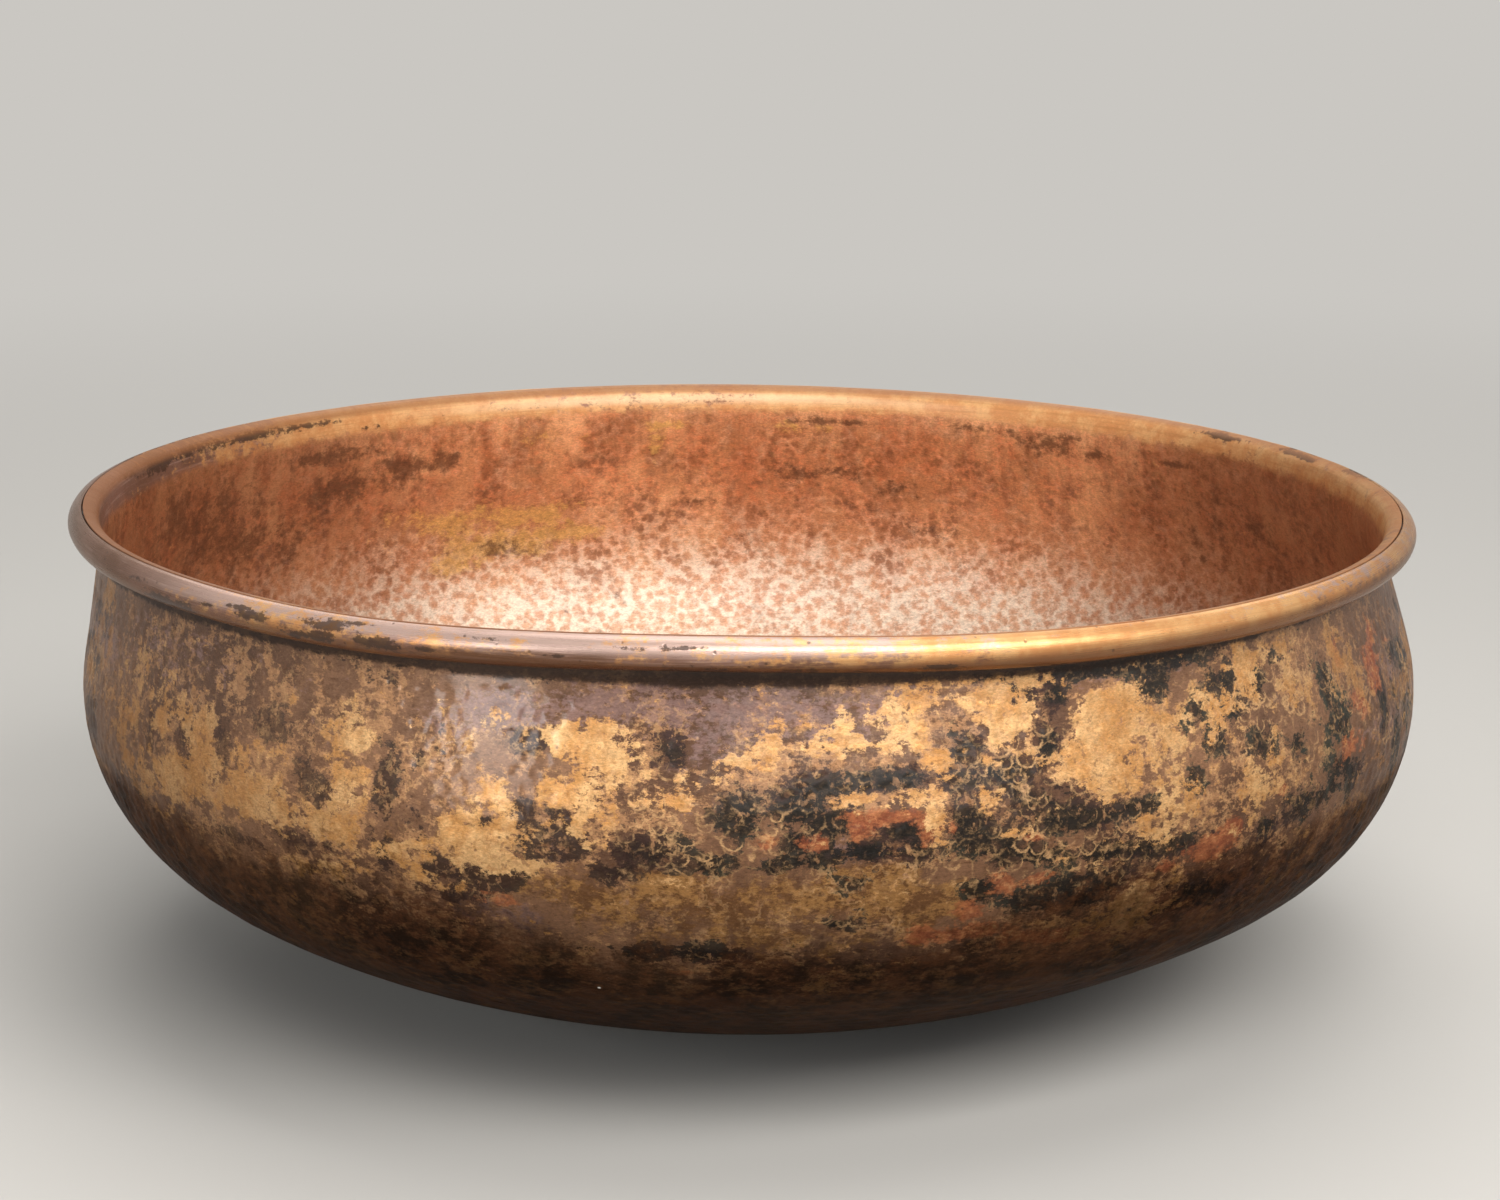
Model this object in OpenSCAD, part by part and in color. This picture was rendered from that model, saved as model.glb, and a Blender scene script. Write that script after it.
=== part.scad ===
// Hammered copper bowl: a raised copper sheet whose lip and a curled copper strip
// close round an iron wire, so that the rim is one thick round bead.
// Millimetres, +Z up. The origin is the centre of the flat base that the bowl stands on.

/* [Overall] */
// Outer diameter over the rim bead
rim_d = 460; // [420:1:500]
// Height from the base to the top of the rim bead
bowl_h = 168; // [150:1:190]
// Thickness of the copper sheet, in the shell and in the rim strip
sheet = 1.5; // [1:0.1:2]

/* [Base and underside] */
// Diameter of the flat that the bowl stands on
base_d = 112; // [80:1:150]
// Radius of the soft bend from the flat into the underside
heel_round = 80; // [40:1:110]
// Slope at which the underside leaves that bend, in degrees
base_slope = 8; // [5:0.5:12]

/* [Belly] */
// How far the belly's widest ring lies inside the rim's outer edge
belly_inset = 0.5; // [0:0.1:4]
// How far the belly's widest ring lies below the top of the rim bead
belly_drop = 62; // [54:1:75]
// Radius of the belly's curve
belly_round = 68; // [50:1:80]

/* [Neck and lip] */
// How far the neck's inside face lies inside the bead's inner edge
neck_bite = 0.6; // [0.2:0.1:1.2]
// Radius of the hollow curve under the rim, on the outside face
neck_round = 36; // [25:1:50]
// Radius of the lip's flare above the neck, on the inside face
flare_round = 30; // [20:1:45]

/* [Rim bead] */
// Outer diameter of the rim bead
bead_d = 10.4; // [9:0.1:12]
// Place of the seam round the bead, in degrees: 90 is the crest, 0 the outer edge
seam_angle = 84; // [70:1:100]
// Width of the seam between the lip's edge and the strip's edge
seam_gap = 0.3; // [0.2:0.05:0.5]
// Clearance round the wire
core_gap = 0.1; // [0.05:0.05:0.3]
// Clearance between the strip's tucked edge and the neck
tuck_gap = 0.3; // [0.2:0.05:0.5]

/* [Hidden] */
$fn = 144;
// Furthest that a straight stretch of an outline may lie from its true curve
chord_sag = 0.03;

// Rim bead: lip and strip are bent to one radius round the wire
bead_r = bead_d / 2;
wrap_r = bead_r - sheet;
bead_c = [rim_d / 2 - bead_r, bowl_h - bead_r];
seam_half = asin(seam_gap / 2 / bead_r);

// Neck: the narrowest ring, from which the lip flares until it meets the bead's circle
neck_in_r = bead_c[0] - bead_r - neck_bite;
neck_r = neck_in_r + sheet;
flare_run = flare_round - bead_r;
flare_rise = sqrt(neck_bite * (2 * flare_run - neck_bite));
flare_turn = asin(flare_rise / flare_run);
flare_c = [neck_in_r + flare_round, bead_c[1] - flare_rise];
neck_c = [neck_r + neck_round, flare_c[1]];

// The strip ends where its outer face comes up against the neck
tuck_angle = -acos((neck_r + tuck_gap - bead_c[0]) / bead_r);

// Belly: a straight, leaning wall touches both the belly's circle and the neck's
belly_c = [rim_d / 2 - belly_inset - belly_round, bowl_h - belly_drop];
wall_v = neck_c - belly_c;
lean = atan2(wall_v[1], wall_v[0]) - acos((belly_round + neck_round) / norm(wall_v));

// Underside: the one arc that leaves the heel at base_slope and runs into the belly
heel_c = [base_d / 2, heel_round];
heel_dir = [sin(base_slope), -cos(base_slope)];
heel_end = heel_c + heel_round * heel_dir;
rise_v = belly_c - heel_end;
under_round = (rise_v * rise_v - belly_round * belly_round)
    / (2 * (-heel_dir * rise_v - belly_round));
under_c = heel_end - under_round * heel_dir;
under_v = belly_c - under_c;
under_end = atan2(under_v[1], under_v[0]);

// Points on an arc about c, from angle a to angle b. skip leaves out the first
// point, where the outline before it already ends there.
function arc(c, r, a, b, skip = 1) =
    let (n = max(2, ceil(abs(b - a) / (2 * acos(1 - chord_sag / r)))))
    [for (i = [skip:n]) let (t = a + (b - a) * i / n) c + r * [cos(t), sin(t)]];

// One face of the sheet, from the base's centre to the lip's edge. depth is the
// distance from the outside face, so 0 gives the outside and sheet the inside.
function sheet_face(depth) = concat(
    [[0, depth]],
    arc(heel_c, heel_round - depth, -90, base_slope - 90, 0),
    arc(under_c, under_round - depth, base_slope - 90, under_end),
    arc(belly_c, belly_round - depth, under_end, lean),
    arc(neck_c, neck_round + depth, 180 + lean, 180, 0),
    arc(flare_c, flare_round - sheet + depth, 180, 180 - flare_turn),
    arc(bead_c, wrap_r + depth, 180 - flare_turn, seam_angle + seam_half));

function backwards(points) = [for (i = [len(points) - 1:-1:0]) points[i]];

// The raised bowl: one sheet from the flat base to the edge of the flared lip
module bowl_shell() {
    color([0.60, 0.36, 0.20])
        rotate_extrude()
            polygon(concat(sheet_face(0), backwards(sheet_face(sheet))));
}

// The strip: a C that starts at the seam, goes over the wire and tucks in under it
module rim_bead() {
    color([0.72, 0.47, 0.26])
        rotate_extrude()
            polygon(concat(
                arc(bead_c, bead_r, seam_angle - seam_half, tuck_angle, 0),
                arc(bead_c, wrap_r, tuck_angle, seam_angle - seam_half, 0)));
}

// The wire hoop that stiffens the rim, held between lip and strip
module rim_core() {
    color([0.30, 0.29, 0.28])
        rotate_extrude()
            translate(bead_c)
                circle(r = wrap_r - core_gap, $fn = 48);
}

bowl_shell();
rim_bead();
rim_core();
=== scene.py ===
import math
import random

import bpy
import numpy as np
from mathutils import Matrix, Vector, noise
from mathutils.bvhtree import BVHTree


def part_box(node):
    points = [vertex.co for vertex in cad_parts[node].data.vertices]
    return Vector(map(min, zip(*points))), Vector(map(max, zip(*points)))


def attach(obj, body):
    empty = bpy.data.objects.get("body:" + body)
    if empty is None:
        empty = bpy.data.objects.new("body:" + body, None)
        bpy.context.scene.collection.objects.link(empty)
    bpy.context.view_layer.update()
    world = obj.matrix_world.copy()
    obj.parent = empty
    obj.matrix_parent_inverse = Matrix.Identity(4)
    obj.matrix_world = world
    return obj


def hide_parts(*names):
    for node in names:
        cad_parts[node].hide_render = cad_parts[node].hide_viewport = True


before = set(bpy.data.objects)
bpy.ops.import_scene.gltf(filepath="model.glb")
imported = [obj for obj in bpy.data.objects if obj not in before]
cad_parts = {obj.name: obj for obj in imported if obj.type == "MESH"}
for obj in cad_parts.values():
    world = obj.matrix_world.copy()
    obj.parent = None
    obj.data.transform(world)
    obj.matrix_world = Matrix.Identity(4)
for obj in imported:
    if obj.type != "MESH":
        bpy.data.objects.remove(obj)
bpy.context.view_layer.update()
mm = 0.001
print("frame loaded:", ", ".join(sorted(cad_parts)))

# camera and image points

cameraView = {
    "place": (0.0, -1127.9, 386.9),   # mm
    "aim": (0.3, 0.0, 128.5),         # mm
    "roll": 0.32,                     # degrees, right side of the picture lower
    "lens": 79.35,
    "sensor": 36.0,
    "shift": (0.0, 0.0),
}

imagePoints = {                       # x, y in the photograph's 1500 x 1200 frame
    "bowlLeft": (69, 522),
    "bowlRight": (1417, 540),
    "bowlTop": (700, 384),
    "bowlBottom": (750, 1034),
    "bellyLeft": (84, 680),
    "bellyRight": (1415, 700),
    "beadFrontTop": (753, 636),
    "beadFrontUnder": (753, 673),
    "dripTip": (590, 848),
    "uprightBar": (937, 805),
    "tanPatch": (1105, 750),
    "beadBlot": (253, 616),
    "rimBlot": (1066, 440),
    "redSpot": (765, 843),
}
photoW, photoH = 1500, 1200
nearSearch = {"from": 0.7, "step": 0.004, "count": 200}  # m along a ray that misses its piece


def makeCamera():
    data = bpy.data.cameras.new("bowlCamera")
    data.sensor_fit = "AUTO"
    data.sensor_width = cameraView["sensor"]
    data.lens = cameraView["lens"]
    data.shift_x, data.shift_y = cameraView["shift"]
    data.clip_start, data.clip_end = 0.05, 50
    made = bpy.data.objects.new("bowlCamera", data)
    bpy.context.collection.objects.link(made)
    place = Vector(cameraView["place"]) * mm
    look = (Vector(cameraView["aim"]) * mm - place).to_track_quat("-Z", "Y").to_matrix().to_4x4()
    roll = Matrix.Rotation(math.radians(cameraView["roll"]), 4, "Z")
    made.matrix_world = Matrix.Translation(place) @ look @ roll
    bpy.context.scene.camera = made
    bpy.context.view_layer.update()
    return made


camera = makeCamera()


def rayThrough(x, y):                 # from the camera through a point of the picture
    long = max(photoW, photoH)
    data = camera.data
    way = Vector((x - photoW / 2 + data.shift_x * long,
                  photoH / 2 - y + data.shift_y * long,
                  -long * data.lens / data.sensor_width))
    return camera.matrix_world.translation, (camera.matrix_world.to_3x3() @ way).normalized()


def onSurface(pointName, tree):       # where the ray of an image point meets a piece
    start, way = rayThrough(*imagePoints[pointName])
    hit = tree.ray_cast(start, way)[0]
    if hit is None:
        along = [nearSearch["from"] + nearSearch["step"] * i for i in range(nearSearch["count"])]
        hit = min((tree.find_nearest(start + way * far) for far in along), key=lambda found: found[3])[0]
    return hit


def inPicture(points):                # world points, n x 3, to picture x, y
    turn = np.array(camera.matrix_world.inverted())
    local = points @ turn[:3, :3].T + turn[:3, 3]
    long = max(photoW, photoH)
    data = camera.data
    reach = long * data.lens / data.sensor_width
    x = local[:, 0] / -local[:, 2] * reach + photoW / 2 - data.shift_x * long
    y = photoH / 2 - local[:, 1] / -local[:, 2] * reach + data.shift_y * long
    return x, y


print("camera set")

# small helpers; a node is made in the tree that its inputs come from


def link(mesh, name):
    made = bpy.data.objects.new(name, mesh)
    bpy.context.collection.objects.link(made)
    return made


def meshFrom(name, points, faces):
    mesh = bpy.data.meshes.new(name)
    mesh.from_pydata([tuple(p) for p in points], [], faces)
    mesh.update()
    return mesh


def smooth(low, high, value):
    t = np.clip((np.asarray(value, float) - low) / (high - low), 0, 1)
    return t * t * (3 - 2 * t)


def nodeIn(tree, kind, inputs=None, **settings):
    made = tree.nodes.new(kind)
    for name, value in settings.items():
        setattr(made, name, value)
    for name, value in (inputs or {}).items():
        if isinstance(value, bpy.types.NodeSocket):
            tree.links.new(value, made.inputs[name])
        else:
            made.inputs[name].default_value = value
    return made


def nodeBy(kind, inputs, **settings):
    tree = next(value.id_data for value in inputs.values() if isinstance(value, bpy.types.NodeSocket))
    return nodeIn(tree, kind, inputs, **settings)


def mathOf(operation, first, second=0.0):
    return nodeBy("ShaderNodeMath", {0: first, 1: second}, operation=operation).outputs[0]


def plus(first, second):
    return mathOf("ADD", first, second)


def minus(first, second):
    return mathOf("SUBTRACT", first, second)


def times(first, second):
    return mathOf("MULTIPLY", first, second)


def larger(first, second):
    return mathOf("MAXIMUM", first, second)


# the bowl's outline, in mm, by the same rules as the CAD

bowl = {
    "rimD": 2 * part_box("rim_bead")[1].x / mm, "height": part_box("rim_bead")[1].z / mm, "sheet": 1.5,
    "baseD": 112, "heelRound": 80, "baseSlope": 8,
    "bellyInset": 0.5, "bellyDrop": 62, "bellyRound": 68,
    "neckBite": 0.6, "neckRound": 36, "flareRound": 30,
    "beadD": 10.4, "seamAngle": 84, "seamGap": 0.3, "coreGap": 0.1, "tuckGap": 0.3,
}


def arcPoints(centre, radius, start, stop, step=0.6):
    count = max(2, int(abs(math.radians(stop - start)) * radius / step))
    turns = [math.radians(start + (stop - start) * i / count) for i in range(count + 1)]
    return [(centre[0] + radius * math.cos(t), centre[1] + radius * math.sin(t)) for t in turns]


def bowlRules():
    b = dict(bowl)
    b["beadR"] = b["beadD"] / 2
    b["wrapR"] = b["beadR"] - b["sheet"]
    b["bead"] = (b["rimD"] / 2 - b["beadR"], b["height"] - b["beadR"])
    b["seamHalf"] = math.degrees(math.asin(b["seamGap"] / 2 / b["beadR"]))
    neckIn = b["bead"][0] - b["beadR"] - b["neckBite"]
    neckOut = neckIn + b["sheet"]
    run = b["flareRound"] - b["beadR"]
    rise = math.sqrt(b["neckBite"] * (2 * run - b["neckBite"]))
    b["flareTurn"] = math.degrees(math.asin(rise / run))
    b["flare"] = (neckIn + b["flareRound"], b["bead"][1] - rise)
    b["neck"] = (neckOut + b["neckRound"], b["flare"][1])
    b["tuck"] = -math.degrees(math.acos((neckOut + b["tuckGap"] - b["bead"][0]) / b["beadR"]))
    b["belly"] = (b["rimD"] / 2 - b["bellyInset"] - b["bellyRound"], b["height"] - b["bellyDrop"])
    wall = (b["neck"][0] - b["belly"][0], b["neck"][1] - b["belly"][1])
    tangent = math.acos((b["bellyRound"] + b["neckRound"]) / math.hypot(*wall))
    b["lean"] = math.degrees(math.atan2(wall[1], wall[0]) - tangent)
    b["heel"] = (b["baseD"] / 2, b["heelRound"])
    slope = math.radians(b["baseSlope"])
    away = (math.sin(slope), -math.cos(slope))
    end = (b["heel"][0] + b["heelRound"] * away[0], b["heel"][1] + b["heelRound"] * away[1])
    up = (b["belly"][0] - end[0], b["belly"][1] - end[1])
    drop = away[0] * up[0] + away[1] * up[1]
    b["underR"] = (up[0] ** 2 + up[1] ** 2 - b["bellyRound"] ** 2) / (2 * (-drop - b["bellyRound"]))
    b["under"] = (end[0] - b["underR"] * away[0], end[1] - b["underR"] * away[1])
    toBelly = (b["belly"][0] - b["under"][0], b["belly"][1] - b["under"][1])
    b["underEnd"] = math.degrees(math.atan2(toBelly[1], toBelly[0]))
    return b


rules = bowlRules()


def sheetFace(depth):                 # from the base's centre to the lip's edge; depth 0 is the outside face
    b = rules
    flareEnd = 180 - b["flareTurn"]
    parts = [
        [(0.0, depth)],
        arcPoints(b["heel"], b["heelRound"] - depth, -90, b["baseSlope"] - 90),
        arcPoints(b["under"], b["underR"] - depth, b["baseSlope"] - 90, b["underEnd"]),
        arcPoints(b["belly"], b["bellyRound"] - depth, b["underEnd"], b["lean"]),
        arcPoints(b["neck"], b["neckRound"] + depth, 180 + b["lean"], 180),
        arcPoints(b["flare"], b["flareRound"] - b["sheet"] + depth, 180, flareEnd),
        arcPoints(b["bead"], b["wrapR"] + depth, flareEnd, b["seamAngle"] + b["seamHalf"], step=0.25),
    ]
    points = [p for part in parts for p in part]
    kept = [points[0]]
    for p in points[1:]:
        if math.dist(p, kept[-1]) > 1e-4:
            kept.append(p)
    return np.array(kept)


def withRun(face):                    # a face and how far along the sheet each of its points lies
    return face, np.concatenate([[0], np.cumsum(np.hypot(*np.diff(face, axis=0).T))])


sides = [withRun(sheetFace(0)), withRun(sheetFace(bowl["sheet"]))]  # outside, inside
baseEdge = 1.0                        # mm over the base, where heights begin to tell points of the wall apart


def wallRun(side, height):            # mm along the sheet from the base's centre to a height of the wall
    face, runs = sides[side]
    rising, top = np.argmax(face[:, 1] > face[0, 1] + baseEdge), np.argmax(face[:, 1])
    return np.interp(height, face[rising:top, 1], runs[rising:top])


def runAt(side, radius, height):      # the same for points of the base too
    face, runs = sides[side]
    rising = np.argmax(face[:, 1] > face[0, 1] + baseEdge)
    byRadius = np.interp(radius, face[:rising, 0], runs[:rising])
    return np.where(np.asarray(height) > face[0, 1] + baseEdge, wallRun(side, height), byRadius)


# how the hand-made rim and belly depart from a turned form

handMade = {
    "rimAcross": -2.25, "rimTilt": 0.006, "from": 116, "to": 162,
    "lobes": [                        # azimuth, its spread, height, its spread, outward, upward
        (-90, 17, 165, 40, 0.0, 1.8), (-122, 13, 165, 50, 0.0, -0.8),
        (-128, 22, 42, 26, 1.5, -0.4), (-27, 16, 157, 22, -1.0, 0.0),
        (95, 25, 165, 50, 0.0, 0.4), (150, 20, 110, 40, 0.5, 0.0), (20, 24, 100, 40, -0.5, 0.0),
    ],
    "flatCentre": 40,                 # radius under which nothing grows outward in full
}


def byHand(points):                   # mm in, mm out; every piece of the bowl passes through it
    points = np.array(points, float)
    x, y, z = points.T
    share = smooth(handMade["from"], handMade["to"], z)
    angle = np.degrees(np.arctan2(y, x))
    radius = np.hypot(x, y)
    out, up = np.zeros(len(x)), -handMade["rimTilt"] * x * share
    for azimuth, spread, height, tall, outward, upward in handMade["lobes"]:
        turn = (angle - azimuth + 180) % 360 - 180
        near = np.exp(-(turn / spread) ** 2 - ((z - height) / tall) ** 2)
        out += outward * near
        up += upward * near
    grow = 1 + out / np.maximum(radius, handMade["flatCentre"])
    return np.stack([x * grow + handMade["rimAcross"] * share, y * grow, z + up], 1)


# the hammered sheet

hammerWork = {
    "seed": 11, "stray": 0.36,        # how far a blow strays from its row, as a share of the pitch
    "smoothAround": 228,              # steps round the planished neck and lip
    "markDepth": 0.22, "dish": 0.5,   # depth in mm, and the dish's share of its mark
    "deepest": 1.4, "shallowest": 0.45,  # shares of the depth
    "firstRow": 4, "rowGap": 0.866, "fewest": 6,  # mm of run, share of the pitch, marks in a row
    "baseCentre": 0.2, "floorCentre": 0.5,  # hammered share of the two middle marks
    "struckFrom": 0.02,               # hammered share over which a mark is dished
    "bands": [                        # per side, up the sheet: the band's end, its pitch, its hammered share
        [("run", 60, 10, 0.25), ("height", 62, 8.6, 0.75), ("height", 150.5, 6.3, 1.0),
         ("height", 158, 1.6, 0.0), ("short", 0.3, 2.4, 0.0), ("short", 0, 0.15, 0.0)],
        [("run", 60, 9, 0.7), ("height", 96, 9, 0.8), ("height", 146, 8.6, 0.35),
         ("short", 9.5, 2.0, 0.0), ("short", 0.3, 1.05, 0.0), ("short", 0, 0.15, 0.0)],
    ],                                # ends: mm of run, mm of height, or mm short of the lip's edge
}


def ringPlan():                       # rows of marks: run, marks in the row, hammered share, side, pitch
    h = hammerWork
    rows = [[], []]
    for side, (face, runs) in enumerate(sides):
        start = h["firstRow"]
        for kind, where, pitch, share in h["bands"][side]:
            stop = {"run": where, "height": float(wallRun(side, where)), "short": runs[-1] - where}[kind]
            count = max(1, round((stop - start) / (pitch * (h["rowGap"] if share else 1))))
            for i in range(count):
                run = start + (stop - start) * (i + 0.5) / count
                blows = max(h["fewest"], round(2 * math.pi * np.interp(run, runs, face[:, 0]) / pitch))
                row = (blows, share, side, pitch) if share else (h["smoothAround"], share, side, 0.0)
                rows[side].append((run, *row))
            start = stop
    return rows[0] + rows[1][::-1]


def stitched(low, high):              # triangles between two rings of (angle, point number)
    full = 2 * math.pi
    if len(low) == 1:
        return [(low[0][1], high[(j + 1) % len(high)][1], high[j][1]) for j in range(len(high))]
    if len(high) == 1:
        return [(low[i][1], low[(i + 1) % len(low)][1], high[0][1]) for i in range(len(low))]
    first = min(range(len(high)), key=lambda j: abs((high[j][0] - low[0][0] + math.pi) % full - math.pi))
    shift = round((low[0][0] - high[first][0]) / full) * full
    lowTurns = [low[i % len(low)][0] + full * (i // len(low)) for i in range(len(low) + 1)]
    order = [(first + j) % len(high) for j in range(len(high) + 1)]
    highTurns = [high[k][0] + full * ((first + j) // len(high)) + shift for j, k in enumerate(order)]
    faces = []
    i = j = 0
    while i < len(low) or j < len(high):
        lowPoint, highPoint = low[i % len(low)][1], high[order[j]][1]
        highWay = highTurns[j] + highTurns[j + 1] if j < len(high) else math.inf
        if i < len(low) and lowTurns[i] + lowTurns[i + 1] < highWay:
            faces.append((lowPoint, low[(i + 1) % len(low)][1], highPoint))
            i += 1
        else:
            faces.append((lowPoint, high[order[j + 1]][1], highPoint))
            j += 1
    return faces


def bowlLattice():                    # mark centres joined into triangles; Dual Mesh makes each centre a mark
    rng = random.Random(hammerWork["seed"])
    points, hammer, inside = [], [], []

    def addPoint(run, angle, share, side):
        face, runs = sides[side]
        radius, height = np.interp(run, runs, face[:, 0]), np.interp(run, runs, face[:, 1])
        points.append((radius * math.cos(angle), radius * math.sin(angle), height))
        hammer.append(share)
        inside.append(float(side))
        return len(points) - 1

    rings = [[(0.0, addPoint(0, 0, hammerWork["baseCentre"], 0))]]
    turn = 0.0
    for run, count, share, side, pitch in ringPlan():
        step = 2 * math.pi / count
        turn = turn + step / 2 if pitch == 0 else rng.random() * step
        stray = hammerWork["stray"] if pitch else 0
        ring = []
        for i in range(count):
            angle = turn + step * (i + stray * rng.uniform(-1, 1))
            moved = run + pitch * stray * rng.uniform(-1, 1)
            ring.append((angle, addPoint(moved, angle, share, side)))
        rings.append(ring)
    rings.append([(0.0, addPoint(0, 0, hammerWork["floorCentre"], 1))])

    faces = [face for low, high in zip(rings[:-1], rings[1:]) for face in stitched(low, high)]
    mesh = meshFrom("bowlLattice", byHand(points) * mm, faces)
    for name, values in (("hammer", hammer), ("inside", inside)):
        mesh.attributes.new(name, "FLOAT", "POINT").data.foreach_set("value", values)
    return mesh


def hammerTree():
    tree = bpy.data.node_groups.new("hammerMarks", "GeometryNodeTree")
    face = tree.interface
    face.new_socket("Lattice", in_out="INPUT", socket_type="NodeSocketGeometry")
    for name, start in (("Mark Depth", hammerWork["markDepth"] * mm), ("Dish Share", hammerWork["dish"])):
        face.new_socket(name, in_out="INPUT", socket_type="NodeSocketFloat").default_value = start
    face.new_socket("Seed", in_out="INPUT", socket_type="NodeSocketInt")
    face.new_socket("Finish", in_out="INPUT", socket_type="NodeSocketMaterial")
    face.new_socket("Sheet", in_out="OUTPUT", socket_type="NodeSocketGeometry")

    def store(geometry, name, value, domain, selection=True):
        inputs = {"Geometry": geometry, "Selection": selection, "Name": name, "Value": value}
        kind = "GeometryNodeStoreNamedAttribute"
        return nodeIn(tree, kind, inputs, data_type="FLOAT", domain=domain).outputs[0]

    def read(name):
        named = nodeIn(tree, "GeometryNodeInputNamedAttribute", {"Name": name}, data_type="FLOAT")
        return named.outputs["Attribute"]

    given = nodeIn(tree, "NodeGroupInput").outputs
    marks = nodeIn(tree, "GeometryNodeDualMesh", {"Mesh": given["Lattice"]})
    chance = nodeIn(tree, "FunctionNodeRandomValue", {"Seed": given["Seed"]}, data_type="FLOAT")
    chanceOut = next(s for s in chance.outputs if s.type == "VALUE" and s.enabled)
    numbered = store(marks.outputs[0], "mark", chanceOut, "FACE")
    struck = nodeIn(tree, "FunctionNodeCompare", {"A": read("hammer"), "B": hammerWork["struckFrom"]},
                    data_type="FLOAT", operation="GREATER_THAN").outputs["Result"]
    blow = nodeIn(tree, "GeometryNodeExtrudeMesh", {
        "Mesh": numbered, "Selection": struck, "Offset Scale": 0.0, "Individual": True}, mode="FACES").outputs
    ridged = store(blow["Mesh"], "ridge", 1.0, "POINT")
    dished = store(ridged, "ridge", 0.0, "POINT", blow["Top"])
    scaled = nodeIn(tree, "GeometryNodeScaleElements", {
        "Geometry": dished, "Selection": blow["Top"], "Scale": given["Dish Share"]}, domain="FACE")
    vary = nodeIn(tree, "ShaderNodeMapRange", {
        "Value": read("mark"), "To Min": hammerWork["shallowest"], "To Max": hammerWork["deepest"]})
    deep = times(times(read("hammer"), vary.outputs["Result"]), given["Mark Depth"])
    normal = nodeIn(tree, "GeometryNodeInputNormal").outputs[0]
    step = nodeIn(tree, "ShaderNodeVectorMath", {0: normal, "Scale": times(deep, -1.0)}, operation="SCALE")
    sunk = nodeIn(tree, "GeometryNodeSetPosition", {
        "Geometry": scaled.outputs[0], "Selection": blow["Top"], "Offset": step.outputs[0]})
    soft = nodeIn(tree, "GeometryNodeSetShadeSmooth", {"Geometry": sunk.outputs[0], "Shade Smooth": True})
    real = nodeIn(tree, "GeometryNodeRealizeInstances", {"Geometry": soft.outputs[0]})
    finished = nodeIn(tree, "GeometryNodeSetMaterial", {
        "Geometry": real.outputs[0], "Material": given["Finish"]})
    nodeIn(tree, "NodeGroupOutput", {"Sheet": finished.outputs[0]})
    return tree


def treeResult(guide, tree, inputs, name):  # the evaluated modifier as a plain mesh
    holder = link(guide, name + "Guide")
    made = holder.modifiers.new("shape", "NODES")
    made.node_group = tree
    for item in tree.interface.items_tree:
        if item.in_out == "INPUT" and item.name in inputs:
            made[item.identifier] = inputs[item.name]
    bpy.context.view_layer.update()
    seen = holder.evaluated_get(bpy.context.evaluated_depsgraph_get())
    mesh = bpy.data.meshes.new_from_object(seen)
    holder.modifiers.clear()
    bpy.data.objects.remove(holder)
    mesh.name = name
    return mesh


copperFinish = bpy.data.materials.new("agedHammeredCopper")
rimFinish = bpy.data.materials.new("agedRimCopper")
wireFinish = bpy.data.materials.new("darkIronWire")

lattice = bowlLattice()
shellMesh = treeResult(lattice, hammerTree(), {
    "Mark Depth": hammerWork["markDepth"] * mm, "Dish Share": hammerWork["dish"],
    "Seed": hammerWork["seed"], "Finish": copperFinish}, "bowlShell")
bowlShell = link(shellMesh, "bowlShell")
shellMesh.calc_loop_triangles()
print("hammered sheet:", len(lattice.vertices), "marks,", len(shellMesh.loop_triangles), "triangles")

# rim strip and wire

rimWork = {
    "seed": 4, "around": 360, "swell": 0.12,
    "lumps": 9, "lumpStep": 0.12,     # how closely the swellings follow round the rim and over its section
    "edgeRound": 0.35, "edgeCut": 0.12, "outerSteps": 34, "innerSteps": 20,
    "wireAround": 180, "wireSteps": 24,
}


def turned(name, outline, around, swell=0.0):  # an outline of radius, height, and 1 where it swells
    middle, lumps = rules["bead"], rimWork["lumps"]
    points = []
    for angle in np.arange(around) * 2 * math.pi / around:
        for k, (r, z, swells) in enumerate(outline):
            lump = 0.0
            if swell and swells:
                height = k * rimWork["lumpStep"] + rimWork["seed"]
                spot = Vector((math.cos(angle) * lumps, math.sin(angle) * lumps, height))
                lump = max(0.0, swell * (0.5 + noise.noise(spot)))
            away = Vector((r - middle[0], z - middle[1])).normalized() * lump
            points.append(((r + away.x) * math.cos(angle), (r + away.x) * math.sin(angle), z + away.y))
    steps = len(outline)
    faces = []
    for i in range(around):
        for k in range(steps):
            here, after = i * steps, ((i + 1) % around) * steps
            faces.append((here + k, after + k, after + (k + 1) % steps, here + (k + 1) % steps))
    mesh = meshFrom(name, byHand(points) * mm, faces)
    mesh.shade_smooth()
    return mesh


def roundBead(radius, turn):
    return rules["bead"][0] + radius * math.cos(turn), rules["bead"][1] + radius * math.sin(turn)


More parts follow.
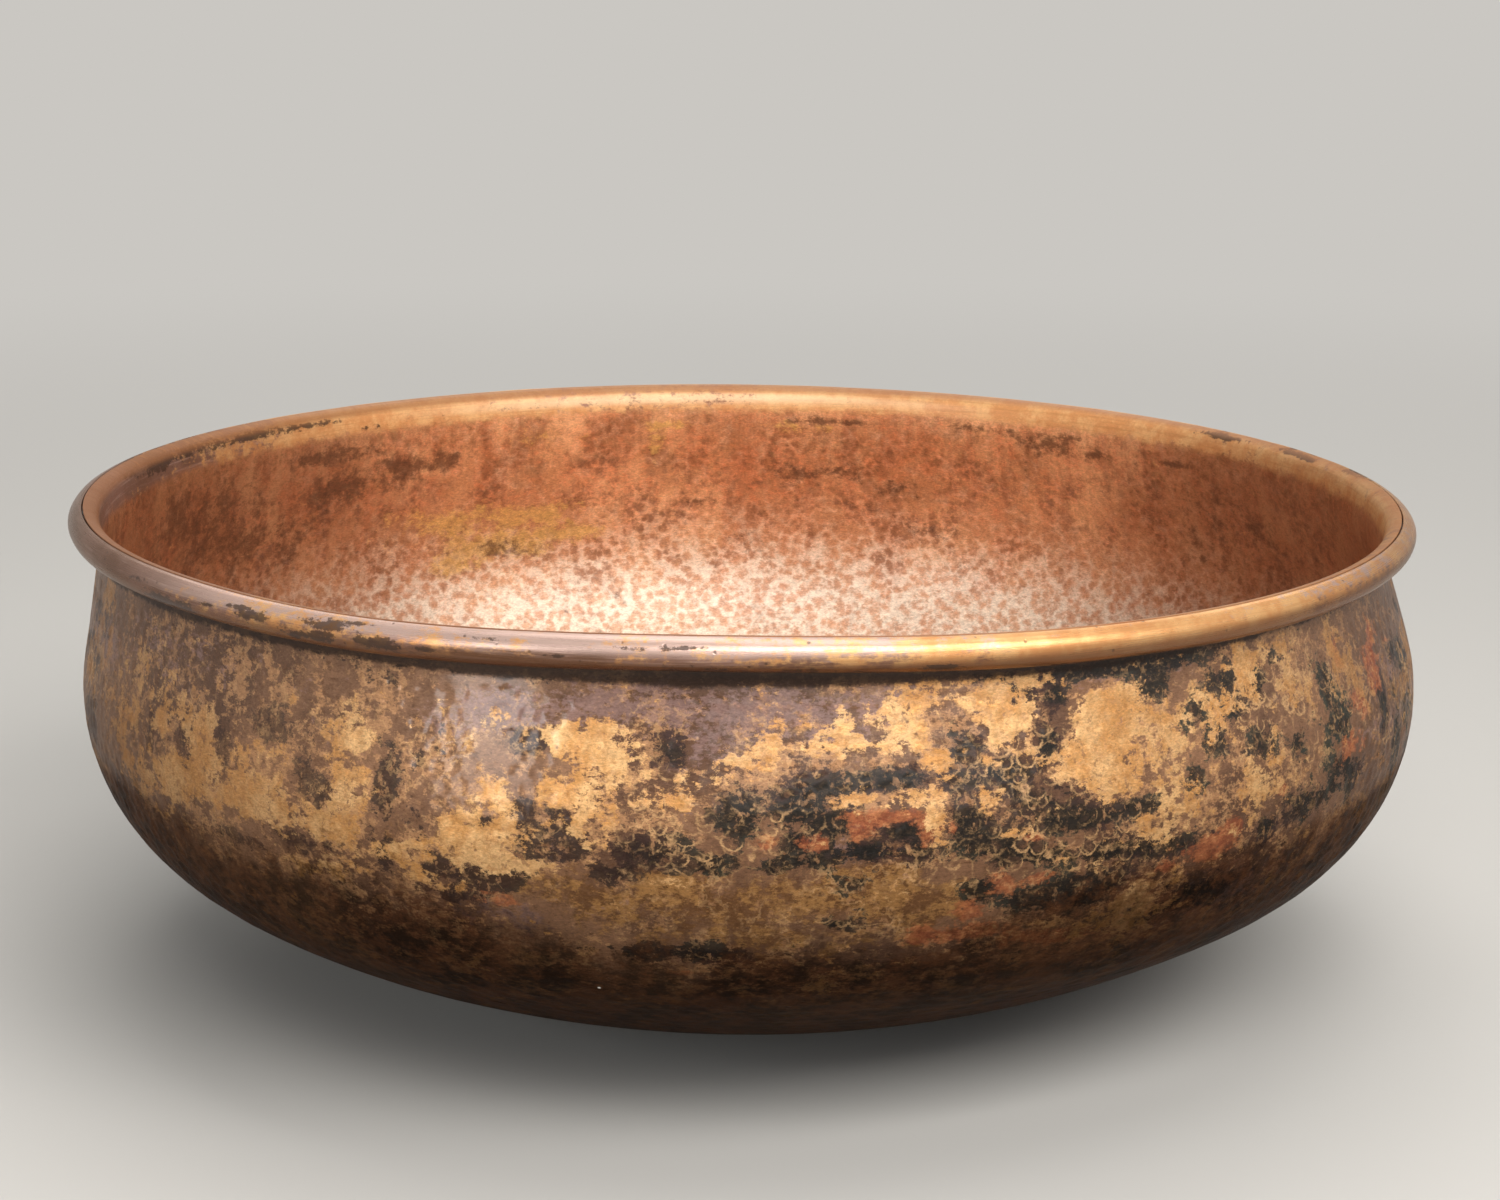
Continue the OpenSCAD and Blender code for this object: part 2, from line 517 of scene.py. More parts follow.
def stripOutline():                   # the strip's C, from the seam round the outside to the tuck, and back
    b = rules
    start, stop = b["seamAngle"] - b["seamHalf"], b["tuck"]
    outer, inner, rounding = b["beadR"], b["wrapR"], rimWork["edgeRound"]
    cut = outer - rimWork["edgeCut"]
    outerGrow, innerGrow = math.degrees(rounding / outer), math.degrees(rounding / inner)
    outerTurns = np.linspace(start - outerGrow, stop + outerGrow, rimWork["outerSteps"])
    innerTurns = np.linspace(stop + innerGrow, start - innerGrow, rimWork["innerSteps"])
    outline = [(outer, a, 1) for a in outerTurns]
    outline += [(cut, stop + outerGrow / 4, 0), (outer - rounding, stop, 0), (inner + rounding, stop, 0)]
    outline += [(inner, a, 0) for a in innerTurns]
    outline += [(inner + rounding, start, 0), (outer - rounding, start, 0), (cut, start - outerGrow / 4, 0)]
    return [(*roundBead(r, math.radians(a)), swells) for r, a, swells in outline[::-1]]


def wireOutline():
    radius, steps = rules["wrapR"] - bowl["coreGap"], rimWork["wireSteps"]
    return [(*roundBead(radius, 2 * math.pi * i / steps), 0) for i in range(steps)]


rimStrip = link(turned("rimStrip", stripOutline(), rimWork["around"], rimWork["swell"]), "rimStrip")
rimWire = link(turned("rimWire", wireOutline(), rimWork["wireAround"]), "rimWire")
rimStrip.data.materials.append(rimFinish)
rimWire.data.materials.append(wireFinish)
print("rim strip and wire made")

# patina: where each colour lies, each patch as the azimuth and height of its middle,
# its half width in degrees, its half height in mm, and its strength

patina = {
    "gold": [
        (-137, 119, 2.4, 10), (-143.5, 120, 1.8, 7), (-149, 120, 4.5, 15, 0.7), (-140, 106, 4, 7),
        (-134, 104, 4.5, 6), (-129.5, 109, 3.8, 11), (-146, 99, 4, 6), (-124, 91, 5, 4, 0.7),
        (-121, 117, 1.5, 13), (-120.5, 131, 1.8, 3.5), (-122, 104, 2.6, 4.5), (-116.5, 99, 2.4, 5),
        (-114.5, 93, 3, 3, 0.7), (-111, 106, 1.5, 7), (-108.6, 118, 1.3, 7), (-107.6, 109, 1.6, 6),
        (-109, 100.5, 3, 3), (-106, 101, 1.8, 2), (-103.6, 122.5, 2.2, 4.5), (-101.5, 118, 2.8, 8),
        (-100.6, 110, 1.5, 4.5), (-101.2, 104.5, 0.6, 4), (-102, 135.5, 3, 5), (-100.5, 141, 1.5, 2.5),
        (-98.6, 133, 1.4, 4.5, 0.65), (-95.6, 122, 1.6, 2.5, 0.5), (-91, 127, 1.8, 3, 0.75),
        (-90, 132.5, 2.4, 2.5, 0.7), (-88.4, 135.5, 1.8, 3, 0.8), (-89.3, 128.5, 2, 2.4, 0.75),
        (-84, 137, 3, 2.5, 0.65), (-78, 138, 2.2, 3, 0.85), (-80, 144.5, 4, 2.5, 0.75),
        (-76, 133, 1.1, 2.5), (-82, 121.8, 2, 2.4), (-78, 121.6, 2, 2.2), (-72.6, 121, 1, 3.5),
        (-70.7, 139.5, 1.5, 5), (-71.5, 146.5, 2.2, 4), (-69, 144, 0.7, 4), (-70, 152, 4.5, 2),
        (-72, 131, 0.9, 2), (-62, 142, 3, 5), (-61, 145.5, 2, 2.5), (-59.6, 134, 3, 7),
        (-63.6, 129, 3.2, 6), (-65.6, 126, 1.4, 3), (-61.2, 122, 3.2, 5), (-57.6, 137, 2.6, 5.5),
        (-56.6, 130, 1.8, 4, 0.8), (-52, 128, 5, 18, 0.5), (-47, 147.5, 3.4, 4.5), (-42.5, 150, 1.4, 3.5),
        (-46.3, 118, 2.2, 4.5), (-47.5, 110, 3, 3.5, 0.8), (-39.5, 133, 0.7, 3.5), (-42, 138, 0.4, 6),
        (-58.6, 103, 2.4, 3.2), (-56, 109, 4, 3.5, 0.7), (-58.6, 82, 3.2, 5, 0.9), (-60.5, 76, 4, 4.5, 0.8),
        (-33.5, 140, 2.5, 9, 0.6), (-30.5, 129, 2, 6, 0.6), (-70, 109.5, 1.8, 1.2), (-66, 101, 1, 4, 0.7),
        (-63.5, 97, 1.5, 3, 0.7), (-82.5, 142, 2.5, 2.4, 0.65), (-77, 148, 4, 2, 0.65),
        (-70, 149, 3, 2, 0.8),
    ],
    "dark": [
        (-139.4, 119, 0.7, 5), (-144.7, 117, 0.4, 8), (-138.3, 112, 0.3, 4), (-134.2, 123, 1.0, 7),
        (-129.2, 130, 1.8, 4), (-125.3, 117, 1.4, 7, 0.6), (-123, 113, 0.9, 6, 0.7),
        (-117.6, 118, 0.8, 12, 0.85), (-118.5, 104, 0.6, 3, 0.7), (-117.6, 97, 0.7, 5),
        # (-118, 152), (-134, 152) and (-106, 152) are a weak painted shadow under the bead
        (-131.2, 92, 2.6, 3), (-126.5, 96, 3, 3, 0.8), (-118, 152, 9, 2.4, 0.35), (-134, 152, 7, 2.6, 0.3),
        (-106, 152, 4, 2, 0.4), (-152, 88, 1.8, 8), (-115, 112, 0.8, 4, 0.7), (-109.2, 112, 0.7, 2),
        (-106.2, 115, 0.8, 7, 0.85), (-103.5, 114, 0.9, 3), (-102.6, 107.5, 1.8, 3.2, 0.75),
        (-103.5, 104, 2.2, 2.6, 0.75), (-97.6, 107, 2.4, 4), (-99.8, 100, 1.8, 2.4), (-113, 96, 1.4, 3),
        (-110.2, 95, 1.5, 3.4), (-107.6, 95, 1.1, 3), (-112.3, 88, 1.8, 2.5), (-106, 136, 1.5, 4, 0.8),
        (-95.5, 135, 1.5, 5, 0.7), (-93.5, 104, 3, 2.6), (-94.5, 74.5, 4, 3), (-98, 75, 1.6, 2.5),
        (-90.6, 118, 1.8, 7), (-86.3, 120, 2.4, 6), (-84, 115, 1.5, 5), (-84.4, 125.5, 2, 3.5),
        (-79.5, 127, 3.6, 2.8), (-78.3, 113, 1.9, 2.8), (-86.5, 110, 1.2, 3), (-82, 107, 3, 2.6),
        (-86, 105, 2, 2.2), (-77.6, 106.5, 0.9, 2.6), (-73.8, 113, 1.6, 6), (-73.8, 134, 1.5, 4, 0.8),
        (-72, 108, 3, 2.6), (-70, 103, 4, 3.6), (-73, 93, 1.3, 4), (-69.6, 88.5, 1.3, 3.4),
        (-66, 88, 3.4, 5), (-68, 119.5, 2.6, 3.4), (-66, 112, 3, 3.6), (-82.5, 97.5, 0.8, 1.8),
        (-69, 148, 0.9, 2.5), (-66.4, 147, 1, 3), (-83.5, 84, 1.2, 2.6, 0.8), (-62, 153, 7, 2.2),
        (-57.6, 147, 1.7, 4), (-70.8, 127, 2.6, 5), (-67.4, 134, 0.9, 6), (-50, 144, 2.4, 4, 0.8),
        (-47, 124, 1.6, 6, 0.8), (-53.5, 137, 1.4, 5, 0.8), (-36, 122, 2.4, 7, 0.75), (-56, 152, 3.5, 3),
        (-60.4, 112.5, 2.6, 2.4), (-65, 111, 2.4, 3.6), (-62, 100, 4.6, 3.4), (-57, 98.5, 3, 2.6),
        (-64, 91, 3.6, 5), (-54, 79, 2.8, 5), (-50, 82, 3, 4), (-46.6, 97, 1, 4), (-41, 100, 3.6, 4),
        (-36, 106, 2.8, 6), (-37, 135, 1, 6), (-44, 146, 0.8, 3), (-27, 121, 1, 11), (-23, 106, 1.3, 10),
        (-46.2, 140, 1.2, 5), (-49.2, 135, 1.2, 4), (-52.2, 127, 1.2, 4), (-54.5, 118, 1, 4),
        (-42.5, 122, 1.2, 5), (-74.5, 125, 1.4, 2.4, 0.8), (-88.3, 102.5, 0.9, 2),
    ],
    "red": [
        (-85.3, 109.6, 0.9, 2), (-80.6, 117.3, 2.6, 1.8), (-82, 114, 1.1, 3.6), (-76.8, 111.6, 0.9, 2.8),
        (-75.3, 112.5, 0.6, 2.4), (-71, 95, 1, 4), (-68.4, 95, 1.2, 1.8), (-73.5, 86, 1.3, 3.2),
        (-74.5, 79, 4, 3.5, 0.8), (-109, 88.5, 2, 2.4), (-53, 95, 2.4, 3), (-57, 92, 0.9, 1.8),
        (-50.4, 101, 1, 3), (-34, 141, 0.9, 5), (-28, 132, 1.6, 7), (-32, 124, 1.4, 5),
        (-34.5, 112, 1.8, 4), (-66, 74, 5, 3, 0.8), (-69.5, 107.5, 1.2, 1.2), (-96, 66, 4, 3, 0.5),
        (-45.5, 108, 1.6, 3, 0.7), (-26, 140, 1.6, 6, 0.7),
    ],
    "purple": [
        # the blooms at heights 145 to 148, under the bead, are partly purple patina and partly a painted
        # sheen
        (-98, 147.5, 8, 5), (-88, 147.5, 7, 4.5), (-108, 145, 3, 5), (-112, 140, 3, 4, 0.5),
        (-142, 143, 8, 7, 0.45), (-94, 138, 4, 5, 0.7), (-84, 141, 3, 4, 0.6), (-62, 152, 8, 3, 0.8),
        (-104, 107, 3, 5, 0.5), (-50, 80, 6, 6, 0.6), (-82, 107, 3, 3, 0.8), (-108, 84, 4, 5, 0.5),
    ],
    "olive": [
        (-100, 91, 6, 7, 0.9), (-92, 92, 6, 8, 0.9), (-83, 92, 6, 8, 1), (-78, 88, 4, 8, 1),
        (-88, 81, 9, 6, 0.8), (-111, 105, 1.6, 8, 0.6), (-118, 100, 2, 8, 0.5), (-97, 97, 3, 4, 0.7),
        (-80, 101, 4, 3, 0.8),
    ],
    "rings": [
        (-95, 113, 4, 10), (-96, 121, 3, 6), (-92, 107, 3, 6), (-88, 116, 2.6, 7, 0.8),
        (-97, 122, 3, 8, 0.7), (-83, 97, 3, 4, 0.7), (-69, 104, 5, 6, 0.9), (-64, 100, 4, 7, 0.9),
        (-74, 100, 4, 5, 0.7), (-68, 121, 3, 4, 0.7), (-44, 130, 9, 16, 0.8), (-68, 130, 5, 9, 0.9),
        (-110, 130, 6, 8, 0.5), (-86, 134, 4, 5, 0.6), (-57, 104, 4, 6, 0.7), (-85, 84, 5, 5, 0.6),
    ],
    "insideYellow": [
        (124, 116, 5, 6, 0.8), (115, 116, 5, 5, 0.85), (117, 105, 5, 6, 0.8), (108, 108, 2.2, 3),
        (122, 98, 4, 4, 0.6), (100.2, 143, 0.4, 11), (100.2, 149, 0.8, 5), (99.6, 153, 2.6, 2),
        (112, 108, 3, 3, 0.7), (113, 150, 4, 4, 0.6), (85, 152, 6, 2, 0.5),
    ],
    "insideDark": [
        (135, 138, 5, 5, 0.8), (128, 143, 4, 4), (124, 142, 3, 3), (137, 151, 5, 2.4),
        (149, 124, 8, 12, 0.7), (157, 138, 8, 12, 0.7), (85, 131, 1.6, 4, 0.8), (80, 133, 1.4, 3, 0.7),
        (95, 119, 2, 3, 0.5), (74, 127, 1.6, 3, 0.7), (81, 154.5, 3.4, 1.2), (56, 151, 3, 2.6),
        (60, 154.5, 3, 1.3), (51, 149.5, 1.6, 1.8), (40.5, 151, 2, 0.9), (66, 156, 1.6, 1.2),
        (116, 103, 3, 3, 0.6), (30, 130, 12, 16, 0.4), (92, 104, 2, 2, 0.5), (70, 110, 3, 3, 0.5),
    ],
    "rimBrass": [                     # azimuth, height, half width, half height on lip and bead
        (62, 163, 58, 14, 1), (8, 163, 40, 16, 0.85), (-60, 163, 24, 16, 1), (-127, 163, 9, 6, 0.6),
        (-117, 163, 7, 5, 0.55), (-109, 164, 6, 3.2, 0.42), (130, 163, 22, 16, 1),
    ],
    "rimDark": [
        (-131, 165.5, 1.3, 0.8, 0.85), (-134.5, 164, 0.9, 0.6, 0.8), (-122.5, 162.5, 1.2, 0.7, 0.85),
        (-119.6, 166.6, 0.8, 0.4, 0.8), (-113.4, 162, 0.9, 0.6, 0.85), (-108.8, 166.6, 1.3, 0.5, 0.85),
        (-104, 163.2, 0.6, 0.5, 0.8), (-139, 162, 2, 1, 0.7), (-145, 165, 1.6, 0.8, 0.7),
        (-124, 161, 2.4, 1.4), (-122, 165, 1.6, 1.2), (-117.5, 162, 1.8, 1.6), (-140, 161, 3, 2),
        (-76.3, 160, 1.6, 1.1), (-98, 166.5, 1.5, 0.7), (-94.5, 167, 1.2, 0.6), (-92, 161, 0.8, 0.8, 0.8),
        (150, 165, 5, 1.6, 0.8), (141, 165, 4, 1.2, 0.8), (133, 160, 2, 1.2, 0.7), (164, 166, 8, 3, 0.8),
        (-92, 159, 8, 2, 0.7), (34, 165.5, 3, 0.9), (22, 166, 3, 0.8), (12, 167, 3, 0.8),
    ],
}

unseen = {                            # the same kinds of patches round the sides and back
    "seed": 23, "from": -22, "to": 206, "stretch": (0.35, 1.5), "strength": (0.6, 1), "inside": 26,
    "kinds": {                        # how many, half width, half height, lowest, highest
        "gold": (130, 2.3, 5, 88, 150), "dark": (150, 1.9, 4, 76, 153), "red": (34, 1.4, 2.6, 78, 146),
        "purple": (12, 7, 6, 100, 154), "olive": (14, 6, 7, 78, 104), "rings": (30, 4, 7, 92, 135),
    },
    "insideKinds": {                  # from and to for each number of a patch
        "insideYellow": ((-165, -15), (90, 150), (1, 4), (2, 6), (0.5, 0.9)),
        "insideDark": ((-170, -10), (100, 154), (1, 5), (2, 8), (0.5, 0.9)),
    },
}


def scatterUnseen():
    rng = random.Random(unseen["seed"])
    for kind, (count, wide, tall, low, high) in unseen["kinds"].items():
        for _ in range(count):
            azimuth = rng.uniform(unseen["from"], unseen["to"])
            azimuth = azimuth - 360 if azimuth > 180 else azimuth
            height = rng.uniform(low, high)
            halves = (half * rng.uniform(*unseen["stretch"]) for half in (wide, tall))
            patina[kind].append((azimuth, height, *halves, rng.uniform(*unseen["strength"])))
    for _ in range(unseen["inside"]):
        for kind, spans in unseen["insideKinds"].items():
            patina[kind].append(tuple(rng.uniform(*span) for span in spans))


scatterUnseen()

marks = {                             # patches at image points: piece, kind, half width and height, strength
    "dripTip": ("sheet", "gold", 0.7, 3, 1),
    "uprightBar": ("sheet", "gold", 0.8, 9.5, 0.95),
    "tanPatch": ("sheet", "gold", 3.2, 7, 1),
    "beadBlot": ("rim", "rimDark", 1.6, 1.8, 0.9),
    "rimBlot": ("sheet", "insideDark", 2.2, 1.8, 0.95),
    "redSpot": ("sheet", "red", 0.8, 2.8, 0.95),
}
marked = {}


def placeMarks():
    trees = {}
    for name, mesh in (("sheet", shellMesh), ("rim", rimStrip.data)):
        mesh.calc_loop_triangles()
        corners = [t.vertices for t in mesh.loop_triangles]
        trees[name] = BVHTree.FromPolygons([v.co for v in mesh.vertices], corners)
    for name, (piece, kind, *shape) in marks.items():
        x, y, z = onSurface(name, trees[piece]) / mm
        marked[name] = (math.degrees(math.atan2(y, x)), z, *shape)
        patina[kind].append(marked[name])


placeMarks()

footShadeReach = {"front": 73, "rise": 17, "near": 8, "far": 30, "fade": 22}  # painted shade: the dark foot's height, and its climb away from the front
ridgeShare = 3                        # hammered share, times this, at which ridges show
grainRadius = 0.23                    # m, the rim's radius, round which the grains of the sheet are laid
lipWork = {
    "from": 156, "to": 161.5,         # heights over which the inside turns into the lip
    # painted highlight on the far lip: its azimuth, how far round it reaches, its height and half height
    "highlightAt": 98, "highlightFar": 36, "highlightNear": 6, "highlightHeight": 163.4, "highlightTall": 1.8,
}
beadWork = {                          # turns round the wire in radians, and degrees from the left end; the crown is a painted highlight, the under turn painted shade
    "crownRise": (0.1, 0.6), "crownFall": (2.3, 1.7), "crownFrom": (28, 52), "under": (0.3, -0.4),
}
usualStrength = 0.9
patchFall = 0.45                      # how much of a patch's strength is gone at its edge


def awayFrom(patch, azimuth, run, runOf=float):  # 0 in a patch's middle, 1 on its edge
    middle, height, wide, tall = patch[:4]
    turn = (azimuth - middle + 180) % 360 - 180
    return np.sqrt((turn / wide) ** 2 + ((run - runOf(height)) / tall) ** 2)


def fieldOf(kind, azimuth, run, runOf=float):  # 1 in a patch's middle, 0.5 on its edge, 0 well outside
    total = np.zeros(len(azimuth))
    for patch in patina[kind]:
        strength = patch[4] if len(patch) > 4 else usualStrength
        away = awayFrom(patch, azimuth, run, runOf)
        total += (strength * np.clip(1 - patchFall * away, 0, 1)) ** 5
    return np.minimum(total ** 0.2, 1)


def pointsOf(mesh):
    co = np.empty(len(mesh.vertices) * 3)
    mesh.vertices.foreach_get("co", co)
    return co.reshape(-1, 3) / mm


def storeVector(mesh, name, x, y, z):
    made = mesh.attributes.new(name, "FLOAT_VECTOR", "POINT")
    made.data.foreach_set("vector", np.stack([x, y, z], 1).astype(np.float32).ravel())


def storeAlong(mesh, azimuth, run):   # for grains that follow the sheet: places round it and along its run
    around = np.radians(azimuth)
    storeVector(mesh, "alongSheet", grainRadius * np.cos(around), grainRadius * np.sin(around), run * mm)


def pointValues(mesh, name):          # any float attribute as one value a vertex
    held = mesh.attributes[name]
    values = np.empty(len(held.data))
    held.data.foreach_get("value", values)
    if held.domain == "POINT":
        return values
    corner = np.empty(len(mesh.loops), int)
    mesh.loops.foreach_get("vertex_index", corner)
    sizes = np.empty(len(mesh.polygons), int)
    mesh.polygons.foreach_get("loop_total", sizes)
    total = np.bincount(corner, np.repeat(values, sizes), len(mesh.vertices))
    return total / np.maximum(np.bincount(corner, None, len(mesh.vertices)), 1)


def paintShell(mesh):
    x, y, z = pointsOf(mesh).T
    azimuth, radius = np.degrees(np.arctan2(y, x)), np.hypot(x, y)
    inside = pointValues(mesh, "inside")
    isIn = inside > 0.5
    runs = [runAt(side, radius, z) for side in (0, 1)]

    def field(kind, side):
        return fieldOf(kind, azimuth, runs[side], lambda height: wallRun(side, height))

    def either(inner, outer):         # one value inside the bowl and another outside
        return np.where(isIn, inner, outer)

    w = lipWork
    lip = either(smooth(w["from"], w["to"], z), 0)
    inDark = np.maximum(field("insideDark", 1), fieldOf("rimDark", azimuth, z) * lip)
    ridge = pointValues(mesh, "ridge") * np.clip(pointValues(mesh, "hammer") * ridgeShare, 0, 1)
    # painted shade: a dark foot whose top climbs away from the front
    footShadeLine = footShadeReach["front"] + footShadeReach["rise"] * smooth(footShadeReach["near"], footShadeReach["far"], np.abs(azimuth + 90))
    footShade = smooth(footShadeLine + footShadeReach["fade"], footShadeLine - footShadeReach["fade"], z)
    # painted highlight along the far lip
    lipHighlight = np.exp(-((z - w["highlightHeight"]) / w["highlightTall"]) ** 2)
    lipHighlight = smooth(w["highlightFar"], w["highlightNear"], np.abs(azimuth - w["highlightAt"])) * lipHighlight
    storeVector(mesh, "patchA", either(field("insideYellow", 1), field("gold", 0)),
                either(inDark, field("dark", 0)), either(0, field("red", 0)))
    # inside the bowl, patchB's first value carries the painted lip highlight
    storeVector(mesh, "patchB", either(lipHighlight, field("purple", 0)),
                either(0, field("olive", 0)), either(0, field("rings", 0)))
    storeVector(mesh, "zones", inside, lip, either(fieldOf("rimBrass", azimuth, z), 0))
    storeVector(mesh, "blows", ridge, pointValues(mesh, "mark"), footShade)
    storeAlong(mesh, azimuth, np.where(isIn, runs[1], runs[0]))


def paintStrip(mesh):
    x, y, z = pointsOf(mesh).T
    none = np.zeros(len(x))
    azimuth, radius = np.degrees(np.arctan2(y, x)), np.hypot(x - handMade["rimAcross"], y)
    section = np.arctan2(z - rules["bead"][1], radius - rules["bead"][0])  # turn round the wire
    # painted highlight on the bead's crown, and painted shade on its underside
    crownHighlight = smooth(*beadWork["crownRise"], section) * smooth(*beadWork["crownFall"], section)
    crownHighlight = crownHighlight * smooth(*beadWork["crownFrom"], 180 - np.abs(azimuth))
    storeVector(mesh, "patchA", fieldOf("rimBrass", azimuth, z), fieldOf("rimDark", azimuth, z), none)
    storeVector(mesh, "bead", crownHighlight, smooth(*beadWork["under"], section), none)
    storeAlong(mesh, azimuth, section * bowl["beadD"] / 2)


paintShell(shellMesh)
paintStrip(rimStrip.data)
print("patina laid out")

# colours, as seen, and the words that lay one over another

# the side, crest and bead-underside tones and the foot's low tones are painted shade, the joint tone is grime
# and painted shade, and the rim's brightest tone and the pale floor tones are painted highlights
copperTones = {
    "gold": (206, 148, 88), "goldPale": (230, 182, 126), "goldDeep": (156, 106, 62), "tan": (184, 136, 96),
    "brown": (142, 104, 78), "brownDeep": (100, 72, 56), "umber": (112, 76, 52),
    "olive": (166, 120, 70), "oliveDeep": (112, 76, 46), "purple": (140, 110, 104),
    "dark": (24, 30, 30), "darkGreen": (46, 54, 48), "darkPurple": (62, 46, 43), "darkPlum": (76, 54, 47),
    "red": (148, 78, 52), "orange": (186, 112, 72), "ridge": (214, 168, 118), "grimeAndShade": (44, 28, 19),
    "low": (92, 56, 34), "lowDeep": (26, 16, 9), "sheen": (214, 178, 150),
    "copper": (240, 178, 126), "copperDeep": (188, 124, 80), "copperRed": (206, 112, 70),
    "copperSideShade": (104, 62, 40), "copperHighlight": (236, 219, 198), "roseHighlight": (238, 184, 144),
    "rose": (226, 158, 114), "speck": (196, 136, 98), "yellow": (216, 170, 98), "insideDark": (92, 56, 36),
    "rimBrass": (214, 150, 94), "rimPale": (232, 180, 122), "rimHighlight": (248, 222, 184),
    "rimDeep": (178, 120, 70), "rimCrestShade": (146, 94, 56), "rimPlum": (148, 112, 98),
    "rimUmber": (112, 80, 62), "rimRose": (212, 182, 170), "rimDark": (58, 42, 34), "rimUnderShade": (108, 70, 45),
    "iron": (58, 56, 54), "rust": (92, 58, 40),
}
fleckColour = (0.9, 0.86, 0.8, 1.0)
patchEdges = {                        # how each patch frays: two grains, their reach, and softness
    "tan": ("CoarseB", "FineA", 1.7, 2.2, 0.08), "wash": ("CoarseA", "FineB", 1.6, 1.6, 0.12),
    "olive": ("CoarseC", "FineB", 2.0, 1.2, 0.2), "purple": ("CoarseA", "FineB", 2.4, 2.4, 0.16),
    "dark": ("CoarseB", "FineB", 1.8, 1.3, 0.07), "red": ("CoarseC", "FineA", 1.6, 1.2, 0.12),
    "gold": ("CoarseA", "FineA", 2.0, 1.7, 0.08), "rings": ("CoarseA", "FineB", 1.8, 1.0, 0.25),
    "curls": ("CoarseB", "FineA", 2.0, 1.2, 0.2), "footShade": ("CoarseA", "FineB", 1.5, 1.3, 0.3),
    "grimeAndShade": ("CoarseC", "FineB", 1.1, 1.2, 0.2), "rose": ("CoarseC", "FineA", 2.0, 1.2, 0.3),
    "copperRed": ("CoarseA", "FineB", 2.0, 1.2, 0.3), "stain": ("CoarseB", "FineA", 2.4, 1.2, 0.3),
    "paleHighlight": ("CoarseB", "FineB", 1.2, 0.9, 0.6), "yellow": ("CoarseA", "FineB", 2.0, 1.2, 0.2),
    "blot": ("CoarseB", "FineA", 2.2, 1.6, 0.25), "lip": ("CoarseA", "FineA", 1.6, 1.2, 0.5),
    "brass": ("CoarseA", "FineA", 1.4, 1.7, 0.2), "smear": ("CoarseB", "FineB", 1.6, 1.5, 0.1),
}


def tone(red, green, blue):           # a colour as seen, 0 to 255, to a shader colour
    seen = [c / 255 for c in (red, green, blue)]
    return tuple(((c + 0.055) / 1.055) ** 2.4 if c > 0.0405 else c / 12.92 for c in seen) + (1.0,)


def hue(name):
    return tone(*copperTones[name])


def blendOf(share, under, over, kind="MIX"):
    inputs = {0: share, 6: under, 7: over}
    return nodeBy("ShaderNodeMix", inputs, data_type="RGBA", blend_type=kind).outputs[2]


def laid(under, name, mask, share=None):  # a tone laid over a colour where the mask is, at a share
    if mask is None:
        return under
    return blendOf(mask if share is None else times(mask, share), under, hue(name))


def maskOf(value, low, high):         # 0 at low and 1 at high, softly
    inputs = {"Value": value, "From Min": low, "From Max": high}
    return nodeBy("ShaderNodeMapRange", inputs, interpolation_type="SMOOTHSTEP").outputs["Result"]


def dimmed(colour, value, low, high, least, most, share=1.0):  # darker where the value is low
    inputs = {"Value": value, "From Min": low, "From Max": high, "To Min": least, "To Max": most}
    level = nodeBy("ShaderNodeMapRange", inputs).outputs["Result"]
    grey = nodeBy("ShaderNodeCombineColor", {0: level, 1: level, 2: level}).outputs[0]
    return blendOf(share, colour, grey, "MULTIPLY")


def swingOf(grain, reach):            # a grain's swing to both sides of none
    return times(minus(grain, 0.5), reach)


def noiseOf(vector, scale, detail=6.0, rough=0.6, stretch=None, away=None):
    if stretch or away:
        inputs = {"Vector": vector, "Location": away or (0, 0, 0), "Scale": stretch or (1, 1, 1)}
        vector = nodeBy("ShaderNodeMapping", inputs).outputs[0]
    inputs = {"Vector": vector, "Scale": scale, "Detail": detail, "Roughness": rough}
    return nodeBy("ShaderNodeTexNoise", inputs).outputs[0]


def partsOf(tree, name):
    held = nodeIn(tree, "ShaderNodeAttribute", attribute_name=name).outputs["Vector"]
    return nodeBy("ShaderNodeSeparateXYZ", {0: held}).outputs


def groupWith(name, inputs, outputs):
    tree = bpy.data.node_groups.new(name, "ShaderNodeTree")
    for label, kind, start in inputs:
        socket = tree.interface.new_socket(label, in_out="INPUT", socket_type="NodeSocket" + kind)
        if start is not None:
            socket.default_value = start
    for label in outputs:
        tree.interface.new_socket(label, in_out="OUTPUT", socket_type="NodeSocketFloat")
    return tree, nodeIn(tree, "NodeGroupInput").outputs


def useGroup(group, inputs):
    return nodeBy("ShaderNodeGroup", inputs, node_tree=group).outputs


